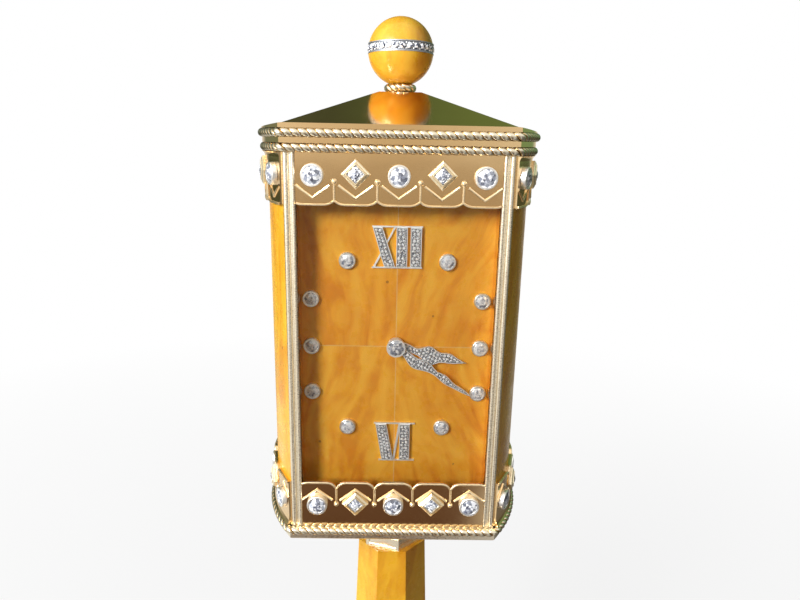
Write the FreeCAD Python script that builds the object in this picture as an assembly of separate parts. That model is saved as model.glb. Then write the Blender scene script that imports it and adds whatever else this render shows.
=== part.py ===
import FreeCAD, Part
import math
import os

from FreeCAD import Vector

# Jewelled table clock: a gold and amber case on an octagonal amber column and foot.
# Frame: +Z up, the dial faces -Y, origin at the centre of the foot's underside, millimetres.

# Levels above the table
FOOT_PAD_TOP = 1.0
FOOT_PLATE_TOP = 5.0
PLINTH_TOP = 16.0
COLUMN_FOOT = 28.0
COLUMN_HEAD = 143.6
CASE_BASE = 160.0

# Levels above the case's underside
FLOOR_LEDGE = 2.0
FLOOR_TOP = 4.5
DIAL_SEAM = 60.0
HANDS_AXIS = 60.6
CORNICE_BASE = 115.55
CORNICE_TOP = 123.0
BALL_CENTRE = 144.15

# Roof: its base, the rise of its flat top and the rise at which its faces would meet
ROOF_HALF = 30.6
ROOF_DEPTH = 28.2
ROOF_RISE = 9.6
APEX_RISE = 12.0
ROOF_CEILING = 1.8
DECK_DROP = 1.15

# Plan of the case: flat front and back, bowed sides
HALF_DEPTH = 27.5
SIDE_RADIUS = 48.7
SIDE_CENTRE = 9.2
WINDOW_HALF = 27.6

# Ends of the amber sides, in degrees of the bow: full thickness, then a tongue over the post
PANEL_END = 31.7
SKIN_END = 33.5
TONGUE = 1.1

# Foot and column, sizes across flats
FOOT_PLATE_WIDTH = 92.0
PLINTH_WIDTH = (84.0, 78.0)
COLUMN_WIDTH = (31.5, 23.0)
COLLAR_RADIUS = 11.7
COLLAR_TURN = 11.0
COLLAR_HEIGHT = 5.6
NECK_RADIUS = 7.4
ROD_RADIUS = 2.0
ROD_CLEARANCE = 0.1

# Rope mouldings: (how far the rope's centre stands out of the plan, level)
ROPE_RADIUS = 1.2
ROPE_FLATS = 10
BOTTOM_ROPE = (0.8, 3.2)
LOWER_ROPE = (0.4, 116.75)
UPPER_ROPE = (0.9, 120.55)

# Scalloped bands
PITCH = 11.5
SIDE_PITCH = 12.1
SCALLOPS = (-2, -1, 0, 1, 2)
TOP_BAND_TIP = 101.8
TOP_BAND_CUSP = 102.9
TOP_STONE = 109.8
TOP_BEAD = 108.2
TOP_CHEVRON = (103.5, 106.95)
BOTTOM_BAND_TIP = 19.2
BOTTOM_BAND_CUSP = 17.3
BOTTOM_STONE = 11.9
BOTTOM_BEAD = 11.9
BOTTOM_CHEVRON = (17.0, 13.4)
NOTCH_HALF = 2.9
CHEVRON_HALF = 4.65
TRIM_WIDTH = 0.5
TRIM_RISE = 0.28
TOP_COVE = 1.3
BOTTOM_COVE = 2.8
COVE_REACH = 0.9

# Depths from the front of the case, as Y levels
BAND_FACE = -27.25
BAND_BACK = -26.5
GLASS_FACE = -26.4
GLASS_BACK = -25.2
DIAL_FACE = -20.0
DIAL_BACK = -18.6
PLATE_BACK = -17.8
AMBER_SKIN = -0.6
SIDE_BAND_SKIN = 0.25
AMBER_THICKNESS = 2.2

# Stones and their collets
ROUND_STONE_RADIUS = 2.5
ROUND_COLLET_RADIUS = 3.05
COLLET_HEIGHT = 1.5
PAVILION = 0.75
SQUARE_COLLET_SIDE = 5.6
SQUARE_STONE_SIDE = 3.3
SQUARE_RISE = 0.4
MARKER_RADIUS = 2.5
MARKER_STONE_RADIUS = 1.8
MARKER_HEIGHT = 1.1
MARKER_PAVILION = 0.55
MARKER_COLUMN = 24.8
MARKER_ROW = 25.7
MARKER_ROW_COLUMN = 14.3
SERIF = 0.4
HUB_RADIUS = 2.75
HUB_STONE_RADIUS = 2.3

# Hands, with the time that they show
MINUTE_LENGTH = 26.9
HOUR_LENGTH = 21.55
MINUTE_ANGLE = 123.8
HOUR_ANGLE = 103.7
HAND_THICKNESS = 0.55
HOUR_HAND_BACK = -20.7
MINUTE_HAND_BACK = -21.95

# Motion work
ARBOR_SPACING = 9.6
CANNON_TEETH = 12
MINUTE_WHEEL_TEETH = 36
MINUTE_PINION_TEETH = 10
HOUR_WHEEL_TEETH = 40
PRESSURE_ANGLE = math.radians(20.0)
BACKLASH = 0.09
WHEEL_THICKNESS = 0.8
MINUTE_LEVEL = -14.6
HOUR_LEVEL = -16.4
MINUTE_ARBOR_RADIUS = 0.9
HOUR_PIPE_RADIUS = 1.65
IDLER_ARBOR_RADIUS = 0.8
RUNNING_GAP = 0.06

# Movement box, behind the dial
MOVEMENT_HALF = 24.0
MOVEMENT_LOW = 30.0
MOVEMENT_HIGH = 81.0
MOVEMENT_BACK = -7.0
COVER_BACK = -5.8
BATTERY_RADIUS = 5.2
BATTERY_LENGTH = 43.5
BATTERY_LEVEL = 37.3
BATTERY_DEPTH = -11.4

# Rear door and its hinge
DOOR_HALF = 27.45
DOOR_LOW = FLOOR_TOP + 0.3
DOOR_HIGH = CORNICE_BASE - 0.3
DOOR_BACK = 27.4
DOOR_THICKNESS = 1.1
HINGE_X = -27.9
HINGE_Y = 28.75
KNUCKLE_RADIUS = 1.0
HINGE_PIN_RADIUS = 0.5
HINGE_LEVELS = (28.0, 93.0)

# Finial
BALL_RADIUS = 9.56
BALL_SEAT = 134.85
BALL_BAND = (143.3, 146.2)
FINIAL_ROPE_RADIUS = 3.6
FINIAL_ROPE_FLATS = 8
STUD_RADIUS = 1.1

CUTTER_REACH = 60.0
UP = Vector(0, 0, 1)
BACKWARD = Vector(0, 1, 0)
ORIGIN = Vector(0, 0, 0)


def box(x0, x1, y0, y1, z0, z1):
    return Part.makeBox(x1 - x0, y1 - y0, z1 - z0, Vector(x0, y0, z0))


def case_box(x0, x1, y0, y1, low, high):
    """Box whose levels are counted from the case's underside."""
    return box(x0, x1, y0, y1, CASE_BASE + low, CASE_BASE + high)


def closed_wire(points):
    return Part.makePolygon(points + points[:1])


def arc(start, middle, end):
    return Part.Arc(start, middle, end).toShape()


def line(start, end):
    return Part.LineSegment(start, end).toShape()


def fuse(solids):
    first, *rest = solids
    return first.fuse(rest).removeSplitter() if rest else first


def polygon_wire(sides, across_flats, level, turn=0.0):
    """Regular polygon about Z with a flat towards the front before its turn."""
    radius = across_flats / 2 / math.cos(math.pi / sides)
    corners = []
    for index in range(sides):
        angle = math.radians(turn - 90) + math.pi * (2 * index + 1) / sides
        corners.append(Vector(radius * math.cos(angle), radius * math.sin(angle), level))
    return closed_wire(corners)


def octagon(stations):
    """Ruled solid through octagons, given as (width across flats, level)."""
    wires = [polygon_wire(8, width, level) for width, level in stations]
    return Part.makeLoft(wires, True, True)


def rod(radius, low, high, x=0.0, y=0.0):
    return Part.makeCylinder(radius, high - low, Vector(x, y, low), UP)


def turned(profile, centre=ORIGIN, angle=360.0):
    """Solid of revolution about a vertical axis, from (radius, level) points."""
    points = [Vector(centre.x + radius, centre.y, level) for radius, level in profile]
    return Part.Face(closed_wire(points)).revolve(centre, UP, angle)


def turned_forward(profile, centre=ORIGIN):
    """Solid of revolution about a front-to-back axis, from (radius, Y level) points."""
    points = [Vector(centre.x + radius, depth, centre.z) for radius, depth in profile]
    return Part.Face(closed_wire(points)).revolve(Vector(centre.x, 0, centre.z), BACKWARD, 360)


# Case plan

def case_wire(grow, level, scale=1.0):
    """Outline of the case in plan, moved outwards by grow and then scaled."""
    depth = (HALF_DEPTH + grow) * scale
    radius = SIDE_RADIUS + grow
    side = (radius - SIDE_CENTRE) * scale
    front = (math.sqrt(radius ** 2 - (HALF_DEPTH + grow) ** 2) - SIDE_CENTRE) * scale
    front_right = Vector(front, -depth, level)
    back_right = Vector(front, depth, level)
    back_left = Vector(-front, depth, level)
    front_left = Vector(-front, -depth, level)
    return Part.Wire([
        arc(front_right, Vector(side, 0, level), back_right),
        line(back_right, back_left),
        arc(back_left, Vector(-side, 0, level), front_left),
        line(front_left, front_right),
    ])


def case_slab(grow, low, high):
    return Part.Face(case_wire(grow, CASE_BASE + low)).extrude(UP * (high - low))


def inside_outline(edge):
    """Solid inside the case outline, whose rim follows (grow, level) points upwards."""
    right = [(SIDE_RADIUS + grow, CASE_BASE + level) for grow, level in edge]
    right = [(0, right[0][1])] + right + [(0, right[-1][1])]
    bow = turned(right).translated(Vector(-SIDE_CENTRE, 0, 0))
    front = [Vector(-CUTTER_REACH, -(HALF_DEPTH + grow), CASE_BASE + level) for grow, level in edge]
    back = [Vector(point.x, -point.y, point.z) for point in reversed(front)]
    band = Part.Face(closed_wire(front + back)).extrude(Vector(2 * CUTTER_REACH, 0, 0))
    return band.common(bow).common(mirrored(bow, left=True))


def rope_bead(grow, level):
    """Bead with many flats that follows the whole outline and is mitred at the corners."""
    turns = [math.pi * (2 * index / ROPE_FLATS - 0.5) for index in range(ROPE_FLATS // 2 + 1)]
    reaches = [(ROPE_RADIUS * math.cos(turn), ROPE_RADIUS * math.sin(turn)) for turn in turns]
    outer = inside_outline([(grow + reach, level + rise) for reach, rise in reaches])
    inner = inside_outline([(grow - reach, level + rise) for reach, rise in reaches])
    return outer.cut(inner)


def side_point(radius, angle, level):
    """Point of the right-hand bow; the angle is counted from its middle, forwards."""
    turn = math.radians(angle)
    return Vector(radius * math.cos(turn) - SIDE_CENTRE, -radius * math.sin(turn), level)


def mirrored(solid, left=False, rear=False):
    if left:
        solid = solid.mirror(ORIGIN, Vector(1, 0, 0))
    if rear:
        solid = solid.mirror(ORIGIN, BACKWARD)
    return solid


# Foot and column

def foot_pad():
    return octagon([(FOOT_PLATE_WIDTH - 6, 0), (FOOT_PLATE_WIDTH - 6, FOOT_PAD_TOP)])


def foot_plate():
    edge = FOOT_PLATE_WIDTH
    body = octagon([(edge, FOOT_PAD_TOP), (edge, FOOT_PLATE_TOP - 1.4), (edge - 3.5, FOOT_PLATE_TOP)])
    nut_recess = rod(5.2, FOOT_PAD_TOP, FOOT_PLATE_TOP - 1.0)
    return body.cut(nut_recess).cut(rod(ROD_RADIUS + ROD_CLEARANCE, 0, PLINTH_TOP))


def foot_plinth():
    body = octagon([(PLINTH_WIDTH[0], FOOT_PLATE_TOP), (PLINTH_WIDTH[1], PLINTH_TOP)])
    return body.cut(rod(ROD_RADIUS + ROD_CLEARANCE, 0, COLUMN_FOOT))


def column_base():
    stations = [(52.0, PLINTH_TOP), (52.0, 18.2), (48.5, 18.9), (42.0, 20.6), (38.0, 23.2), (36.2, 25.6)]
    cove = octagon(stations)
    lip = octagon([(37.6, 25.6), (37.6, COLUMN_FOOT)])
    return fuse([cove, lip]).cut(rod(ROD_RADIUS + ROD_CLEARANCE, 0, COLUMN_HEAD))


def column():
    body = octagon([(COLUMN_WIDTH[0], COLUMN_FOOT), (COLUMN_WIDTH[1], COLUMN_HEAD)])
    return body.cut(rod(ROD_RADIUS + ROD_CLEARANCE, 0, CASE_BASE))


def column_collar():
    """Hexagonal collar with a framed panel on every face, and the neck above it."""
    across = 2 * COLLAR_RADIUS * math.cos(math.pi / 6)
    low = COLUMN_HEAD
    high = low + COLLAR_HEIGHT
    hexagon = Part.Face(polygon_wire(6, across, low, COLLAR_TURN + 30)).extrude(UP * (high - low))
    panel = box(-4.9, 4.9, -across, -across / 2 + 0.35, low + 0.7, low + 3.3)
    groove = box(-9.0, 9.0, -across, -across / 2 + 0.5, low + 4.0, low + 4.5)
    for index in range(6):
        turn = COLLAR_TURN + 30 + 60 * index
        for cutter in (panel, groove):
            hexagon = hexagon.cut(cutter.rotated(ORIGIN, UP, turn))
    neck = turned([(0, high), (9.2, high), (NECK_RADIUS, high + 2), (NECK_RADIUS, CASE_BASE - 3.5),
                   (10.5, CASE_BASE - 1.2), (10.5, CASE_BASE), (0, CASE_BASE)])
    return fuse([hexagon, neck]).cut(rod(ROD_RADIUS + ROD_CLEARANCE, 0, CASE_BASE + 5))


def tie_rod():
    return rod(ROD_RADIUS, FOOT_PAD_TOP + 0.6, CASE_BASE + FLOOR_TOP + 4.6)


def hex_nut(across, bore, low, high):
    return Part.Face(polygon_wire(6, across, low)).extrude(UP * (high - low)).cut(rod(bore, low, high))


def tie_rod_nuts():
    foot_nut = hex_nut(7.0, ROD_RADIUS, FOOT_PAD_TOP + 0.8, FOOT_PLATE_TOP - 1.0)
    case_floor_level = CASE_BASE + FLOOR_TOP
    case_nut = hex_nut(7.0, ROD_RADIUS, case_floor_level, case_floor_level + 3.2)
    return Part.makeCompound([foot_nut, case_nut])


# Case structure

def case_floor():
    plinth = inside_outline([(0.1, 0), (0.6, 0.5), (0.6, FLOOR_LEDGE)])
    ledge = case_slab(BOTTOM_ROPE[0] - ROPE_RADIUS, FLOOR_LEDGE, FLOOR_TOP)
    return fuse([plinth, ledge]).cut(rod(ROD_RADIUS + ROD_CLEARANCE, 0, CASE_BASE + FLOOR_TOP))


def post_section():
    """Corner post in plan: small bead, groove, large corner bead, seat for the amber's tongue."""
    level = CASE_BASE + FLOOR_TOP
    rebate = GLASS_FACE - 0.05
    seat_x = 29.3
    end = SKIN_END + 0.05
    outer = SIDE_RADIUS + AMBER_SKIN
    tongue_seat = outer - TONGUE - 0.03
    a = Vector(WINDOW_HALF, rebate, level)
    b = Vector(WINDOW_HALF, -26.95, level)
    c = Vector(28.75, -26.95, level)
    d = Vector(28.75, -26.75, level)
    e = Vector(29.3, -26.65, level)
    f = Vector(30.85, -26.75, level)
    g = side_point(outer, end, level)
    h = side_point(tongue_seat, end, level)
    i = side_point(tongue_seat, PANEL_END, level)
    j = side_point(outer - AMBER_THICKNESS, PANEL_END, level)
    k = Vector(seat_x, j.y, level)
    m = Vector(seat_x, rebate, level)
    return Part.Wire([
        line(a, b),
        arc(b, Vector(28.2, -27.5, level), c),
        line(c, d),
        line(d, e),
        arc(e, Vector(30.05, -27.4, level), f),
        line(f, g),
        line(g, h),
        arc(h, side_point(tongue_seat, (end + PANEL_END) / 2, level), i),
        line(i, j),
        line(j, k),
        line(k, m),
        line(m, a),
    ])


def corner_post(left, rear):
    post = Part.Face(post_section()).extrude(UP * (CORNICE_BASE - FLOOR_TOP))
    if rear:
        stop = case_box(26.7, 29.4, -26.2, -25.0, FLOOR_TOP, CORNICE_BASE)
        post = fuse([post, stop])
    post = mirrored(post, left, rear)
    if rear and left:
        for level in HINGE_LEVELS:
            for low in (level - 6.0, level + 2.1):
                post = post.fuse(hinge_knuckle(low, low + 3.9, HINGE_X - 1.0, HINGE_X - 0.45, 26.6))
    return post


def cornice():
    """Moulding that carries both upper ropes, with a deck that slopes down over the bows."""
    fillet_base = CORNICE_BASE + 2.4
    upper_base = CORNICE_BASE + 3.8
    eave_base = CORNICE_BASE + 6.2
    ceiling = CORNICE_BASE + 5.4
    lower_step = case_slab(LOWER_ROPE[0] - ROPE_RADIUS, CORNICE_BASE, fillet_base)
    fillet = case_slab(0.9, fillet_base, upper_base)
    upper_step = case_slab(UPPER_ROPE[0] - ROPE_RADIUS, upper_base, eave_base)
    eave = case_slab(1.1, eave_base, CORNICE_TOP)
    well = case_slab(-3.0, CORNICE_BASE, ceiling)
    stud_access = rod(8.0, CASE_BASE + ceiling - 1, CASE_BASE + CORNICE_TOP + 1)
    edge = SIDE_RADIUS - SIDE_CENTRE + 1.1
    slope = [Vector(ROOF_HALF, -CUTTER_REACH, CASE_BASE + CORNICE_TOP),
             Vector(edge, -CUTTER_REACH, CASE_BASE + CORNICE_TOP - DECK_DROP),
             Vector(edge, -CUTTER_REACH, CASE_BASE + CORNICE_TOP)]
    fall = Part.Face(closed_wire(slope)).extrude(BACKWARD * (2 * CUTTER_REACH))
    return fuse([lower_step, fillet, upper_step, eave]).cut([well, stud_access, fall, mirrored(fall, True)])


def pyramid(half, depth, low, high, apex):
    """Rectangular pyramid cut off flat at a level below its apex."""
    wires = []
    for level in (low, high):
        share = (apex - level) / (apex - low)
        x, y = half * share, depth * share
        wires.append(closed_wire([Vector(x, -y, CASE_BASE + level), Vector(x, y, CASE_BASE + level),
                                  Vector(-x, y, CASE_BASE + level), Vector(-x, -y, CASE_BASE + level)]))
    return Part.makeLoft(wires, True, True)


def roof():
    """Hollow hipped roof with a boss that seats the ball."""
    top = CORNICE_TOP + ROOF_RISE
    apex = CORNICE_TOP + APEX_RISE
    share = (APEX_RISE - 1.2) / APEX_RISE
    outer = pyramid(ROOF_HALF, ROOF_DEPTH, CORNICE_TOP, top, apex)
    inner = pyramid(ROOF_HALF * share, ROOF_DEPTH * share, CORNICE_TOP, top - ROOF_CEILING, apex - 1.2)
    boss = rod(2.3, CASE_BASE + top - 0.5, CASE_BASE + BALL_SEAT)
    stud_hole = rod(STUD_RADIUS + 0.05, CASE_BASE + CORNICE_TOP, CASE_BASE + BALL_CENTRE)
    return fuse([outer.cut(inner), boss]).cut(stud_hole)


def side_panel(left):
    """Bowed amber slab between two corner posts, with a thin tongue over each."""
    outer = SIDE_RADIUS + AMBER_SKIN
    tongue = outer - TONGUE
    inner = outer - AMBER_THICKNESS
    end = PANEL_END - 0.03
    skin_end = SKIN_END - 0.03
    middle = (end + skin_end) / 2
    low = CASE_BASE + FLOOR_TOP

    def bow(radius, angles):
        return arc(*[side_point(radius, angle, low) for angle in angles])

    def step(start, finish, angle):
        return line(side_point(start, angle, low), side_point(finish, angle, low))

    section = Part.Wire([
        bow(outer, (skin_end, 0, -skin_end)),
        step(outer, tongue, -skin_end),
        bow(tongue, (-skin_end, -middle, -end)),
        step(tongue, inner, -end),
        bow(inner, (-end, 0, end)),
        step(inner, tongue, end),
        bow(tongue, (end, middle, skin_end)),
        step(tongue, outer, skin_end),
    ])
    return mirrored(Part.Face(section).extrude(UP * (CORNICE_BASE - FLOOR_TOP)), left)


# Scalloped bands. A local shape has X along the band, -Y outwards from its face, Z up.

def on_front(shape, step):
    return shape.translated(Vector(step * PITCH, BAND_FACE, 0))


def on_side(shape, step):
    """Right-hand bow; steps run along its arc, towards the back."""
    turn = math.degrees(step * SIDE_PITCH / SIDE_RADIUS)
    moved = shape.translated(Vector(0, -(SIDE_RADIUS + SIDE_BAND_SKIN), 0))
    moved = moved.rotated(ORIGIN, UP, 90 + turn)
    return moved.translated(Vector(-SIDE_CENTRE, 0, 0))


def notch(tip, cusp, shift=0.0):
    """Cutter between two scallops: two arcs that meet at the cusp."""
    rise = abs(cusp - tip)
    toward = 1 if cusp > tip else -1
    radius = (NOTCH_HALF ** 2 + rise ** 2) / (2 * rise)
    half_turn = math.asin(NOTCH_HALF / radius) / 2
    middle_x = NOTCH_HALF - radius * math.sin(half_turn)
    middle_z = radius * (1 - math.cos(half_turn))
    edge = CASE_BASE + tip + shift * toward
    out = edge - toward * (1.0 + shift)
    left = Vector(-NOTCH_HALF, -3, edge)
    peak = Vector(0, -3, edge + toward * rise)
    right = Vector(NOTCH_HALF, -3, edge)
    outline = Part.Wire([
        arc(left, Vector(-middle_x, -3, edge + toward * middle_z), peak),
        arc(peak, Vector(middle_x, -3, edge + toward * middle_z), right),
        line(right, Vector(NOTCH_HALF, -3, out)),
        line(Vector(NOTCH_HALF, -3, out), Vector(-NOTCH_HALF, -3, out)),
        line(Vector(-NOTCH_HALF, -3, out), left),
    ])
    return Part.Face(outline).extrude(Vector(0, 6, 0))


def separator(cusp, bead):
    """Ridge from the cusp to the level of the bead at its end."""
    return case_box(-TRIM_WIDTH / 2, TRIM_WIDTH / 2, -TRIM_RISE, 0.4, min(cusp, bead), max(cusp, bead))


def chevron(tip, ends):
    """V-shaped ridge round the outer side of a stone."""
    toward = 1 if ends > tip else -1
    slope = math.atan2(abs(ends - tip), CHEVRON_HALF)
    lift = toward * TRIM_WIDTH / math.cos(slope)
    outer = [(-CHEVRON_HALF, ends), (0, tip), (CHEVRON_HALF, ends)]
    corners = outer + [(x, level + lift) for x, level in reversed(outer)]
    points = [Vector(x, -TRIM_RISE, CASE_BASE + level) for x, level in corners]
    return Part.Face(closed_wire(points)).extrude(Vector(0, TRIM_RISE + 0.4, 0))


def dress_band(plate, layer, strip, place, tip, cusp, bead, chevron_levels):
    """Cut the scallops, then add the rim, the separators and the chevrons."""
    boundaries = [step + 0.5 for step in (-3,) + SCALLOPS]
    notches = [place(notch(tip, cusp), step) for step in boundaries]
    rim_parts = [strip] + [place(notch(tip, cusp, TRIM_WIDTH), step) for step in boundaries]
    rim = layer.common(fuse(rim_parts)).cut(notches)
    ridges = [place(separator(cusp, bead), step) for step in boundaries[1:-1]]
    ridges += [place(chevron(*chevron_levels), step) for step in SCALLOPS]
    return fuse([plate.cut(notches), rim] + ridges)


def front_band(top):
    half = WINDOW_HALF - 0.03
    inside = FLOOR_TOP if not top else CORNICE_BASE
    tip, cusp, bead, levels = band_levels(top)
    low, high = min(tip, inside), max(tip, inside)
    strip_low, strip_high = (tip, tip + TRIM_WIDTH) if top else (tip - TRIM_WIDTH, tip)
    plate = case_box(-half, half, BAND_FACE, BAND_BACK, low, high)
    layer = case_box(-half, half, BAND_FACE - TRIM_RISE, BAND_FACE, low, high)
    strip = case_box(-half, half, BAND_FACE - 1, BAND_FACE + 1, strip_low, strip_high)
    dressed = dress_band(plate, layer, strip, on_front, tip, cusp, bead, levels)
    return dressed.common(case_box(-half, half, -40, 0, 0, CORNICE_BASE))


def band_levels(top):
    if top:
        return TOP_BAND_TIP, TOP_BAND_CUSP, TOP_BEAD, TOP_CHEVRON
    return BOTTOM_BAND_TIP, BOTTOM_BAND_CUSP, BOTTOM_BEAD, BOTTOM_CHEVRON


def side_sector(profile):
    """Part of a ring along the right-hand bow, from (grow, level) points."""
    end = SKIN_END - 0.03
    points = [(SIDE_RADIUS + grow, CASE_BASE + level) for grow, level in profile]
    ring = turned(points, ORIGIN, 2 * end).rotated(ORIGIN, UP, -end)
    return ring.translated(Vector(-SIDE_CENTRE, 0, 0))


def side_band(top, left):
    """Bowed band; its base flares out under or above the rope."""
    tip, cusp, bead, levels = band_levels(top)
    inside = CORNICE_BASE if top else FLOOR_TOP
    toward = 1 if top else -1
    skin = SIDE_BAND_SKIN
    cove = TOP_COVE if top else BOTTOM_COVE
    bend = inside - toward * cove
    flare = [(skin, tip), (skin, bend), (skin + 0.22 * COVE_REACH, bend + toward * 0.5 * cove),
             (skin + 0.55 * COVE_REACH, bend + toward * 0.8 * cove), (skin + COVE_REACH, inside)]
    plate = side_sector([(AMBER_SKIN, tip)] + flare + [(AMBER_SKIN, inside)])
    layer = side_sector([(skin, tip), (skin + TRIM_RISE, tip), (skin + TRIM_RISE, bend), (skin, bend)])
    edge = tip + toward * TRIM_WIDTH
    strip = side_sector([(skin - 1, tip), (skin + 1, tip), (skin + 1, edge), (skin - 1, edge)])
    dressed = dress_band(plate, layer, strip, on_side, tip, cusp, bead, levels)
    keep = side_sector([(-3, 0), (3, 0), (3, CORNICE_BASE), (-3, CORNICE_BASE)])
    return mirrored(dressed.common(keep), left)


# Stones and collets, in the same local frame

def collet(radius, seat_radius, height, seat_depth, flats):
    """Round cup for a stone, drawn with flats."""
    def disc(reach, front, back):
        corners = []
        for index in range(flats):
            angle = math.pi * (2 * index + 1) / flats
            corners.append(Vector(reach * math.cos(angle), front, reach * math.sin(angle)))
        return Part.Face(closed_wire(corners)).extrude(BACKWARD * (back - front))

    return disc(radius, -height, 0).cut(disc(seat_radius, -height, -height + seat_depth))


def round_collet():
    return collet(ROUND_COLLET_RADIUS, ROUND_STONE_RADIUS, COLLET_HEIGHT, PAVILION, 12)


def square_collet():
    """Square set on its corner: a low pyramid with a seat for the stone."""
    base = SQUARE_COLLET_SIDE / math.sqrt(2)
    top = (SQUARE_STONE_SIDE + 0.7) / math.sqrt(2)
    wires = []
    for reach, depth in ((base, 0), (base, -0.5), (top, -COLLET_HEIGHT)):
        wires.append(closed_wire([Vector(reach, depth, 0), Vector(0, depth, reach),
                                  Vector(-reach, depth, 0), Vector(0, depth, -reach)]))
    body = Part.makeLoft(wires, True, True)
    half = SQUARE_STONE_SIDE / 2
    seat = box(-half, half, -COLLET_HEIGHT, -COLLET_HEIGHT + PAVILION, -half, half)
    return body.cut(seat.rotated(ORIGIN, BACKWARD, 45))


def cut_stone(radius, sides, girdle, crown, pavilion):
    """Faceted stone, from the flat under its pavilion to the table; every facet is plane."""
    def ring(reach, depth):
        angles = [2 * math.pi * index / sides for index in range(sides)]
        return [Vector(reach * math.cos(angle), depth, reach * math.sin(angle)) for angle in angles]

    rings = [ring(0.3 * radius, girdle + pavilion), ring(radius, girdle), ring(0.56 * radius, girdle - crown)]
    facets = [Part.Face(closed_wire(rings[0])), Part.Face(closed_wire(rings[-1]))]
    for lower, upper in zip(rings, rings[1:]):
        for index in range(sides):
            after = (index + 1) % sides
            corners = [lower[index], lower[after], upper[after], upper[index]]
            facets.append(Part.Face(closed_wire(corners)))
    return Part.Solid(Part.Shell(facets))


def round_stone():
    return cut_stone(ROUND_STONE_RADIUS - 0.1, 8, -COLLET_HEIGHT, 0.55, PAVILION)


def square_stone():
    reach = (SQUARE_STONE_SIDE - 0.04) / math.sqrt(2)
    return cut_stone(reach, 4, -COLLET_HEIGHT, 0.75, PAVILION)


def around_bands(shape, steps, rise=0.0):
    """Copies of a stone or collet on the front and on both sides, top and bottom."""
    copies = []
    for level in (TOP_STONE + rise, BOTTOM_STONE + rise):
        raised = shape.translated(Vector(0, 0, CASE_BASE + level))
        for step in steps:
            copies.append(on_front(raised, step))
            copies.append(on_side(raised, step))
            copies.append(mirrored(on_side(raised, step), left=True))
    return Part.makeCompound(copies)


# Dial

def dial_quarter(left, low):
    """One of four amber slabs, with its share of the hole for the hands."""
    level_low, level_high = (8.0, DIAL_SEAM) if low else (DIAL_SEAM, 113.0)
    slab = case_box(0, 29.0, DIAL_FACE, DIAL_BACK, level_low, level_high)
    hole = Part.makeCylinder(2.1, 5, Vector(0, DIAL_FACE - 1, CASE_BASE + HANDS_AXIS), BACKWARD)
    return mirrored(slab.cut(hole), left)


def dial_frame():
    """Gold frame between the glass and the dial."""
    outer = case_box(-29.2, 29.2, GLASS_BACK, DIAL_FACE, FLOOR_TOP + 0.2, CORNICE_BASE - 0.2)
    inner = case_box(-WINDOW_HALF, WINDOW_HALF, GLASS_BACK, DIAL_FACE, 8.5, 112.5)
    return outer.cut(inner)


def dial_plate():
    plate = case_box(-29.0, 29.0, DIAL_BACK, PLATE_BACK, FLOOR_TOP + 0.2, CORNICE_BASE - 0.2)
    hole = Part.makeCylinder(2.1, 5, Vector(0, DIAL_FACE, CASE_BASE + HANDS_AXIS), BACKWARD)
    return plate.cut(hole)


def front_glass():
    return case_box(-29.2, 29.2, GLASS_FACE, GLASS_BACK, FLOOR_TOP + 0.2, CORNICE_BASE - 0.2)


def stroke(top_left, top_right, bottom_left, bottom_right, low, high, thickness):
    """Numeral stroke between two levels, given by its X values at both ends."""
    face = DIAL_FACE - thickness
    corners = [Vector(top_left, face, CASE_BASE + high), Vector(top_right, face, CASE_BASE + high),
               Vector(bottom_right, face, CASE_BASE + low), Vector(bottom_left, face, CASE_BASE + low)]
    return Part.Face(closed_wire(corners)).extrude(Vector(0, thickness, 0))


def numeral_twelve():
    low, high = 84.1, 95.4
    broad, fine = 0.9, 0.6
    return fuse([
        stroke(-7.1, -4.4, -3.8, -0.7, low, high, broad),
        stroke(-1.1, -0.6, -7.0, -6.4, low, high, fine),
        stroke(-0.4, 2.7, -0.4, 2.7, low, high, broad),
        stroke(3.6, 6.7, 3.6, 6.7, low, high, broad),
        stroke(-7.3, 7.0, -7.3, 7.0, high, high + SERIF, fine),
        stroke(-7.3, 7.0, -7.3, 7.0, low - SERIF, low, fine),
    ])


def numeral_six():
    low, high = 23.4, 35.3
    broad, fine = 0.9, 0.6
    return fuse([
        stroke(-5.8, -2.5, -3.8, -0.3, low, high, broad),
        stroke(1.2, 1.9, -0.5, 0.1, low, high, fine),
        stroke(1.55, 4.65, 1.55, 4.65, low, high, broad),
        stroke(-6.3, 6.2, -6.3, 6.2, high, high + SERIF, fine),
        stroke(-4.8, 6.2, -4.8, 6.2, low - SERIF, low, fine),
    ])


def marker_places():
    """Ten hour markers on a rectangle, as (x, rise); XII and VI take the other two."""
    side_rise = MARKER_COLUMN / math.tan(math.radians(60))
    places = []
    for side in (1, -1):
        places += [(side * MARKER_COLUMN, rise) for rise in (side_rise, 0, -side_rise)]
        places += [(side * MARKER_ROW_COLUMN, rise) for rise in (MARKER_ROW, -MARKER_ROW)]
    return places


def on_dial(shape):
    copies = [shape.translated(Vector(x, DIAL_FACE, CASE_BASE + DIAL_SEAM + rise))
              for x, rise in marker_places()]
    return Part.makeCompound(copies)


def marker_collet():
    return collet(MARKER_RADIUS, MARKER_STONE_RADIUS, MARKER_HEIGHT, MARKER_PAVILION, 12)


def marker_stone():
    return cut_stone(MARKER_STONE_RADIUS - 0.08, 8, -MARKER_HEIGHT, 0.45, MARKER_PAVILION)


# Hands: outlines as (distance from the hub, half width) on each flank

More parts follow.
